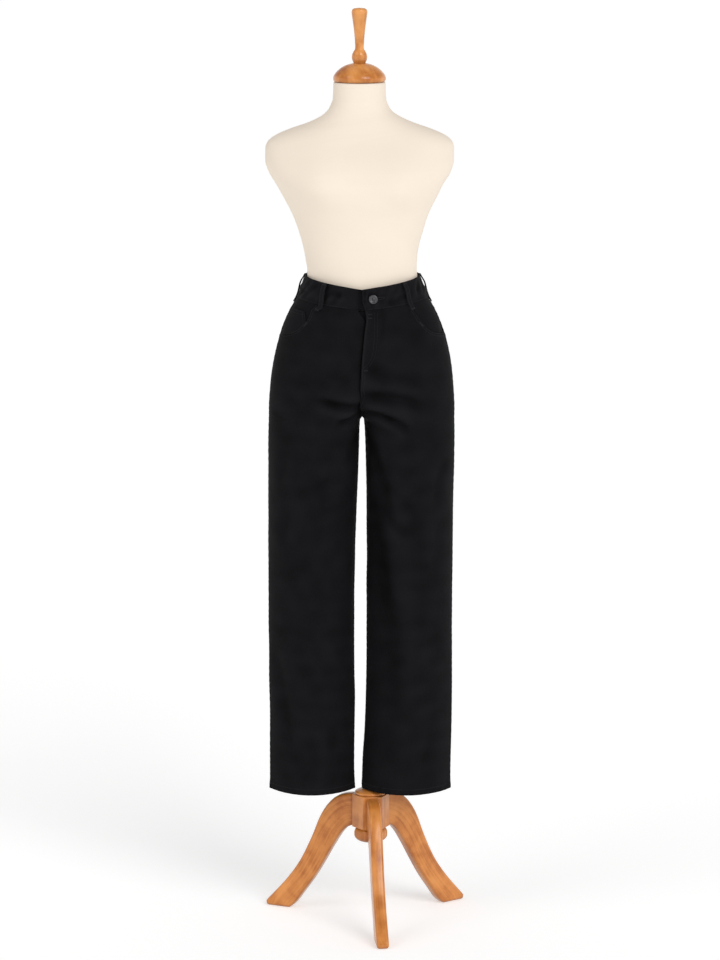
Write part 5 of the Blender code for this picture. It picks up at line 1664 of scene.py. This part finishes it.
@dataclass
class DressForm:
    """Cream padded body with its wooden cap and finial."""
    cut: Cut
    foot: float = 1.1000
    squareness: float = 2.25
    sides: int = 112
    neck_place: float = -0.0040
    chest_height: float = 1.5020
    chest_above: float = 0.0750
    chest_below: float = 0.0360
    chest_place: float = 0.0860
    chest_width: float = 0.0460
    chest_rise: float = 0.0145
    cap: tuple[Turn, ...] = tuple(Turn(*row) for row in (
        (1.7033, 0.047), (1.7036, 0.0492), (1.7046, 0.0507), (1.7068, 0.0517), (1.7098, 0.0521),
        (1.7128, 0.0517), (1.7165, 0.0503), (1.7225, 0.046), (1.7292, 0.0388), (1.7346, 0.0302),
        (1.7376, 0.0225), (1.7392, 0.016), (1.74, 0.0128),
    ))
    finial: tuple[Turn, ...] = tuple(Turn(*row) for row in (
        (1.7403, 0.0118), (1.743, 0.013), (1.7465, 0.0146), (1.7515, 0.0153), (1.756, 0.0148),
        (1.76, 0.0134), (1.764, 0.0112), (1.7664, 0.0093), (1.7684, 0.0089), (1.772, 0.0086),
        (1.782, 0.0091), (1.802, 0.0108), (1.827, 0.0141), (1.836, 0.0153), (1.8405, 0.0156),
        (1.844, 0.0148), (1.8465, 0.0122), (1.8479, 0.007), (1.8483, 0.001),
    ))

    def ring(self, height: float, inset: float = 0.0) -> Grid:
        """One level ring of the body."""
        turns = np.linspace(0.0, 2.0 * math.pi, self.sides, endpoint=False)
        power = 2.0 / self.squareness
        wide = np.sign(np.cos(turns)) * np.abs(np.cos(turns)) ** power
        deep = np.sign(np.sin(turns)) * np.abs(np.sin(turns)) ** power
        half, sway, front, back = (float(smooth_read(FORM, name, height))
                                   for name in ("half_width", "sway", "front", "back"))
        depth = np.where(deep < 0.0, front, back) - inset
        points = [sway + (half - inset) * wide, depth * deep, np.full_like(turns, height)]
        points[1] = points[1] - self.chest(points[0], height) * (deep < 0.0)
        return np.stack(points, axis=-1) + self.cut.shift

    def chest(self, place: Grid, height: float) -> Grid:
        """How far the padded chest stands out: two soft rises that run out upwards and end sooner below."""
        reach = self.chest_above if height > self.chest_height else self.chest_below
        rise = math.exp(-((height - self.chest_height) / reach) ** 2)
        return self.chest_rise * rise * (bell(place - self.chest_place, self.chest_width)
                                         + bell(place + self.chest_place, self.chest_width))

    def make_body(self) -> None:
        """The padded body as one closed loft."""
        edge = [(self.foot, 0.018), (self.foot + 0.0012, 0.009), (self.foot + 0.003, 0.003)]
        heights = np.linspace(FORM[0].height, FORM[-1].height - 0.003, 150)
        rings = [self.ring(height, inset) for height, inset in edge]
        rings += [self.ring(float(height)) for height in heights]
        rings += [self.ring(FORM[-1].height - 0.0008, 0.0006), self.ring(FORM[-1].height, 0.0022)]
        grid = np.array(rings)
        points = grid.reshape(-1, 3)
        count = len(rings)
        row, column = np.meshgrid(np.arange(count - 1), np.arange(self.sides), indexing="ij")
        here = (row * self.sides + column).ravel()
        beside = (row * self.sides + (column + 1) % self.sides).ravel()
        quads = np.stack([here, beside, beside + self.sides, here + self.sides], axis=1)
        caps = [list(range(self.sides))[::-1], list(range((count - 1) * self.sides, count * self.sides))]
        body = shown_mesh("form_jersey", points, quads.tolist() + caps)
        around = arc_lengths(np.concatenate([grid, grid[:, :1]], axis=1), 1)[:, :-1].reshape(-1)
        write_uv(body.data, "cloth", np.stack([around, points[:, 2]], axis=1))
        body.data.set_sharp_from_angle(angle=math.radians(50.0))
        settle(body, JERSEY, "form_body")

    def make_woodwork(self) -> None:
        """Cap and finial."""
        axis = Vector((self.neck_place + self.cut.shift[0], self.cut.shift[1], 0.0))
        for node, profile in (("neck_cap", self.cap), ("finial", self.finial)):
            piece = Bench.turned(node + "_wood", Bench.refine(profile, 44), axis, 72)
            Bench.upright_grain(piece)
            # The cap and finial take the lighter copy of the wood, which is painted light.
            settle(piece, HEAD_WOOD_PAINTED_LIGHTER, node)


@dataclass
class Stand:
    """Pole, collar, hub, knob and three cabriole legs."""
    cut: Cut
    yaw: float = math.radians(6.0)
    hub_radius: float = 0.0380
    hub_top: float = 0.2596
    hub_foot: float = 0.1906
    hub_round: float = 0.0090
    hub_rim: float = 0.0016
    leg_thick: float = 0.0250
    leg_round: float = 0.0072
    leg_steps: int = 30
    names: tuple[str, ...] = ("leg_front", "leg_left", "leg_right")
    collar: tuple[Turn, ...] = tuple(Turn(*row) for row in (
        (0.2592, 0.029), (0.2598, 0.0308), (0.2612, 0.032), (0.2632, 0.0324), (0.265, 0.0318),
        (0.2662, 0.03), (0.2684, 0.0235), (0.27, 0.014), (0.2706, 0.0075),
    ))
    knob: tuple[Turn, ...] = tuple(Turn(*row) for row in (
        (0.16, 0.012), (0.1606, 0.018), (0.163, 0.0262), (0.168, 0.0318), (0.173, 0.0337),
        (0.178, 0.0338), (0.183, 0.0326), (0.1868, 0.03), (0.188, 0.0278), (0.1904, 0.027),
    ))
    plate: tuple[Turn, ...] = tuple(Turn(*row) for row in (
        (1.0917, 0.035), (1.092, 0.037), (1.0932, 0.038), (1.0985, 0.038), (1.0997, 0.0372),
    ))
    outer: tuple[Point, ...] = tuple(Point(*row) for row in (
        (0.0, 0.232), (0.004, 0.2355), (0.012, 0.23), (0.026, 0.217), (0.064, 0.1835), (0.101, 0.157),
        (0.156, 0.1292), (0.209, 0.1062), (0.2365, 0.0865), (0.25, 0.069), (0.256, 0.052),
        (0.2578, 0.0332),
    ))
    inner: tuple[Point, ...] = tuple(Point(*row) for row in (
        (0.0, 0.18), (0.009, 0.169), (0.034, 0.15), (0.071, 0.1235), (0.108, 0.1012), (0.144, 0.0805),
        (0.177, 0.058), (0.188, 0.045), (0.1915, 0.0332),
    ))

    def axis(self, height: float = 0.0) -> Vector:
        """The pole's axis at a height."""
        return Vector(self.cut.shift + np.array([self.cut.pole_place, 0.0, height]))

    def edge(self, table: Sequence[Point]) -> Grid:
        """Places along one edge of a leg from the hub to the foot: reach and height."""
        height = np.linspace(table[-1].height, 0.0, 400)
        line = np.stack([smooth_read(table, "place", height), height], axis=1)
        walk = arc_lengths(line, 0)
        stops = np.linspace(0.0, walk[-1], self.leg_steps)
        return np.stack([np.interp(stops, walk, line[:, 0]), np.interp(stops, walk, line[:, 1])], axis=1)

    def make_leg(self, name: str, yaw: float) -> None:
        """One leg: a plane at the hub, extruded edge by edge to the foot, then rounded."""
        outer, inner = self.edge(self.outer), self.edge(self.inner)
        bpy.ops.object.select_all(action="DESELECT")
        high, low = outer[0], inner[0]
        bpy.ops.mesh.primitive_plane_add(size=1.0, rotation=(0.0, 0.5 * math.pi, 0.0),
                                         location=(high[0], 0.0, 0.5 * (high[1] + low[1])))
        piece = bpy.context.object
        piece.scale = (high[1] - low[1], self.leg_thick, 1.0)
        Bench.fix_place()
        bpy.ops.object.mode_set(mode="EDIT")
        bpy.ops.mesh.select_all(action="SELECT")
        for step in range(1, self.leg_steps):
            above, below = outer[step] - outer[step - 1], inner[step] - inner[step - 1]
            bpy.ops.mesh.extrude_region_move(TRANSFORM_OT_translate={"value": (above[0], 0.0, above[1])})
            moved = inner[step - 1] + above
            self.keep_selected(piece, Vector((moved[0], 0.0, moved[1])))
            turn = below - above
            bpy.ops.transform.translate(value=(turn[0], 0.0, turn[1]))
            self.select_around(piece, Vector((outer[step][0], 0.0, outer[step][1])),
                               Vector((inner[step][0], 0.0, inner[step][1])))
        Bench.close_edit()
        piece.name = piece.data.name = name + "_wood"
        bevelled(piece, self.leg_round, 5, 48.0)
        bpy.ops.object.modifier_apply(modifier="rim")
        self.leg_grain(piece, 0.5 * (outer + inner))
        bpy.ops.object.shade_smooth_by_angle(angle=math.radians(40.0))
        piece.location = self.axis()
        piece.rotation_euler = (0.0, 0.0, yaw - 0.5 * math.pi)
        Bench.choose(piece)
        Bench.fix_place()
        settle(piece, WOOD, name)

    @staticmethod
    def keep_selected(piece: Piece, middle: Vector) -> None:
        """Of the selected points, keep the two nearest to a place selected."""
        mesh = bmesh.from_edit_mesh(piece.data)
        chosen = sorted((point for point in mesh.verts if point.select), key=lambda v: (v.co - middle).length)
        for point in chosen[2:]:
            point.select = False
        mesh.select_flush_mode()
        bmesh.update_edit_mesh(piece.data)

    @staticmethod
    def select_around(piece: Piece, first: Vector, second: Vector) -> None:
        """Select the last face made: the points nearest to two places, and the face between them."""
        mesh = bmesh.from_edit_mesh(piece.data)
        for part in [*mesh.faces, *mesh.edges, *mesh.verts]:
            part.select = False
        ordered = sorted(mesh.verts, key=lambda v: min((v.co - first).length, (v.co - second).length))
        for point in ordered[:4]:
            point.select = True
        mesh.select_flush(True)
        bmesh.update_edit_mesh(piece.data)

    @staticmethod
    def leg_grain(piece: Piece, line: Grid) -> None:
        """Grain that follows the leg from the hub to the foot."""
        points = mesh_points(piece)
        flat = points[:, [0, 2]]
        walk = arc_lengths(line, 0)
        run = np.gradient(line, axis=0)
        run = unit(run)
        best = np.linalg.norm(flat[:, None] - line[None], axis=-1).argmin(axis=1)
        gap = flat - line[best]
        along = walk[best] + np.sum(gap * run[best], axis=1)
        side = gap[:, 0] * run[best, 1] - gap[:, 1] * run[best, 0]
        Bench.grain(piece, along, side + 0.8 * points[:, 1])

    def make_hub(self) -> None:
        """Six-sided block with well rounded corners."""
        place = self.axis(0.5 * (self.hub_top + self.hub_foot))
        bpy.ops.object.select_all(action="DESELECT")
        bpy.ops.mesh.primitive_cylinder_add(vertices=6, radius=self.hub_radius,
                                            depth=self.hub_top - self.hub_foot, location=place,
                                            rotation=(0.0, 0.0, self.yaw + math.radians(30.0)))
        piece = bpy.context.object
        piece.name = piece.data.name = "hub_wood"
        Bench.fix_place()
        bpy.ops.object.mode_set(mode="EDIT")
        mesh = bmesh.from_edit_mesh(piece.data)
        for part in list(mesh.verts) + list(mesh.faces):
            part.select = False
        for edge in mesh.edges:
            edge.select = abs(edge.verts[0].co.z - edge.verts[1].co.z) > 0.01
        mesh.select_flush_mode()
        bmesh.update_edit_mesh(piece.data)
        bpy.ops.mesh.select_mode(type="EDGE")
        bpy.ops.mesh.bevel(offset=self.hub_round, segments=6, affect="EDGES")
        bpy.ops.object.mode_set(mode="OBJECT")
        bevelled(piece, self.hub_rim, 3, 60.0)
        bpy.ops.object.modifier_apply(modifier="rim")
        bpy.ops.object.shade_smooth_by_angle(angle=math.radians(40.0))
        Bench.upright_grain(piece)
        settle(piece, WOOD, "hub")

    def make(self) -> None:
        """Every wooden piece, and the pole's finish."""
        discs = {"collar": self.collar, "bottom_knob": self.knob, "base_plate": self.plate}
        for node, profile in discs.items():
            piece = Bench.turned(node + "_wood", Bench.refine(profile, 26), self.axis(), 64)
            Bench.upright_grain(piece)
            settle(piece, WOOD, node)
        self.make_hub()
        for number, name in enumerate(self.names):
            self.make_leg(name, self.yaw - number * math.radians(120.0))
        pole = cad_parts["pole"]
        pole.data.materials.clear()
        pole.data.materials.append(STEEL.make())


@dataclass
class Studio:
    """Camera, floor and light."""
    cut: Cut
    distance: float = 7.65
    height: float = 2.275
    place: float = -0.003
    pitch: float = math.radians(10.14)
    lens: float = 145.35
    floor_glow: float = 0.425
    sky_low: float = 0.16
    sky_high: float = 0.42
    sky_top: float = 0.40
    sun_width: float = math.radians(32.0)

    def make(self) -> None:
        """Add the camera, the floor and the lamps."""
        camera = bpy.data.cameras.new("camera")
        camera.lens = self.lens
        camera.clip_end = 200.0
        holder = bpy.data.objects.new("camera", camera)
        holder.location = (self.place + self.cut.shift[0], self.cut.shift[1] - self.distance, self.height)
        holder.rotation_euler = (0.5 * math.pi - self.pitch, 0.0, 0.0)
        bpy.context.scene.collection.objects.link(holder)
        bpy.context.scene.camera = holder
        bpy.ops.object.select_all(action="DESELECT")
        bpy.ops.mesh.primitive_plane_add(size=160.0, location=(0.0, 0.0, -0.0005))
        floor = bpy.context.object
        floor.name = "floor"
        paint = bpy.data.materials.new("floor")
        paint.use_nodes = True
        shader = paint.node_tree.nodes["Principled BSDF"]
        shader.inputs["Base Color"].default_value = (0.80, 0.80, 0.80, 1.0)
        shader.inputs["Roughness"].default_value = 1.0
        shader.inputs["Specular IOR Level"].default_value = 0.0
        shader.inputs["Emission Color"].default_value = (1.0, 1.0, 1.0, 1.0)
        shader.inputs["Emission Strength"].default_value = self.floor_glow
        floor.data.materials.append(paint)
        self.sky()
        self.sun("key", 32.0, 34.0, 1.20)
        self.sun("fill", -55.0, 40.0, 0.36)
        bpy.context.scene.view_settings.view_transform = "Standard"

    def sky(self) -> None:
        """White all round at eye level, dimmer overhead, as in a white room with a darker ceiling."""
        world = bpy.data.worlds.new("studio")
        world.use_nodes = True
        tree = world.node_tree
        way = output(tree, "TexCoord", "Generated")
        upward = output(tree, "SeparateXYZ", "Z", vector=way)
        fade = output(tree, "MapRange", "Result", value=upward, from_min=self.sky_low, from_max=self.sky_high,
                      to_min=1.0, to_max=self.sky_top)
        feed(tree.nodes["Background"], color=(1.0, 1.0, 1.0, 1.0), strength=fade)
        bpy.context.scene.world = world

    def sun(self, name: str, turn: float, tilt: float, power: float) -> None:
        """Add one broad soft light from far off.

        Args:
            name: Its name.
            turn: Degrees to the right of the camera.
            tilt: Degrees above the floor.
            power: Its strength.
        """
        light = bpy.data.lights.new(name, "SUN")
        light.energy = power
        light.angle = self.sun_width
        holder = bpy.data.objects.new(name, light)
        turn, tilt = math.radians(turn), math.radians(tilt)
        way = Vector((math.sin(turn) * math.cos(tilt), -math.cos(turn) * math.cos(tilt), math.sin(tilt)))
        holder.location = way * 4.0
        holder.rotation_euler = (-way).to_track_quat("-Z", "Y").to_euler()
        bpy.context.scene.collection.objects.link(holder)


def main() -> None:
    """Build every piece in order."""
    logging.basicConfig(level=logging.INFO, format="%(message)s")
    cut = Cut()
    studio = Studio(cut)
    studio.make()
    panels = Panels(cut)
    panels.make_fronts()
    panels.make_backs()
    LOG.info("panels built")
    pockets = Pockets(cut)
    pockets.make_facings()
    pockets.make_coin_pocket()
    pockets.make_back_pockets()
    LOG.info("pockets built")
    closure = Closure(cut)
    closure.make_band()
    closure.make_shield()
    closure.make_loops()
    closure.make_button()
    LOG.info("waistband, loops and button built")
    Sewing(cut, panels, pockets, closure).sew_all()
    form = DressForm(cut)
    form.make_body()
    form.make_woodwork()
    LOG.info("form built")
    Stand(cut).make()
    LOG.info("stand built")


if __name__ == "__main__":
    main()
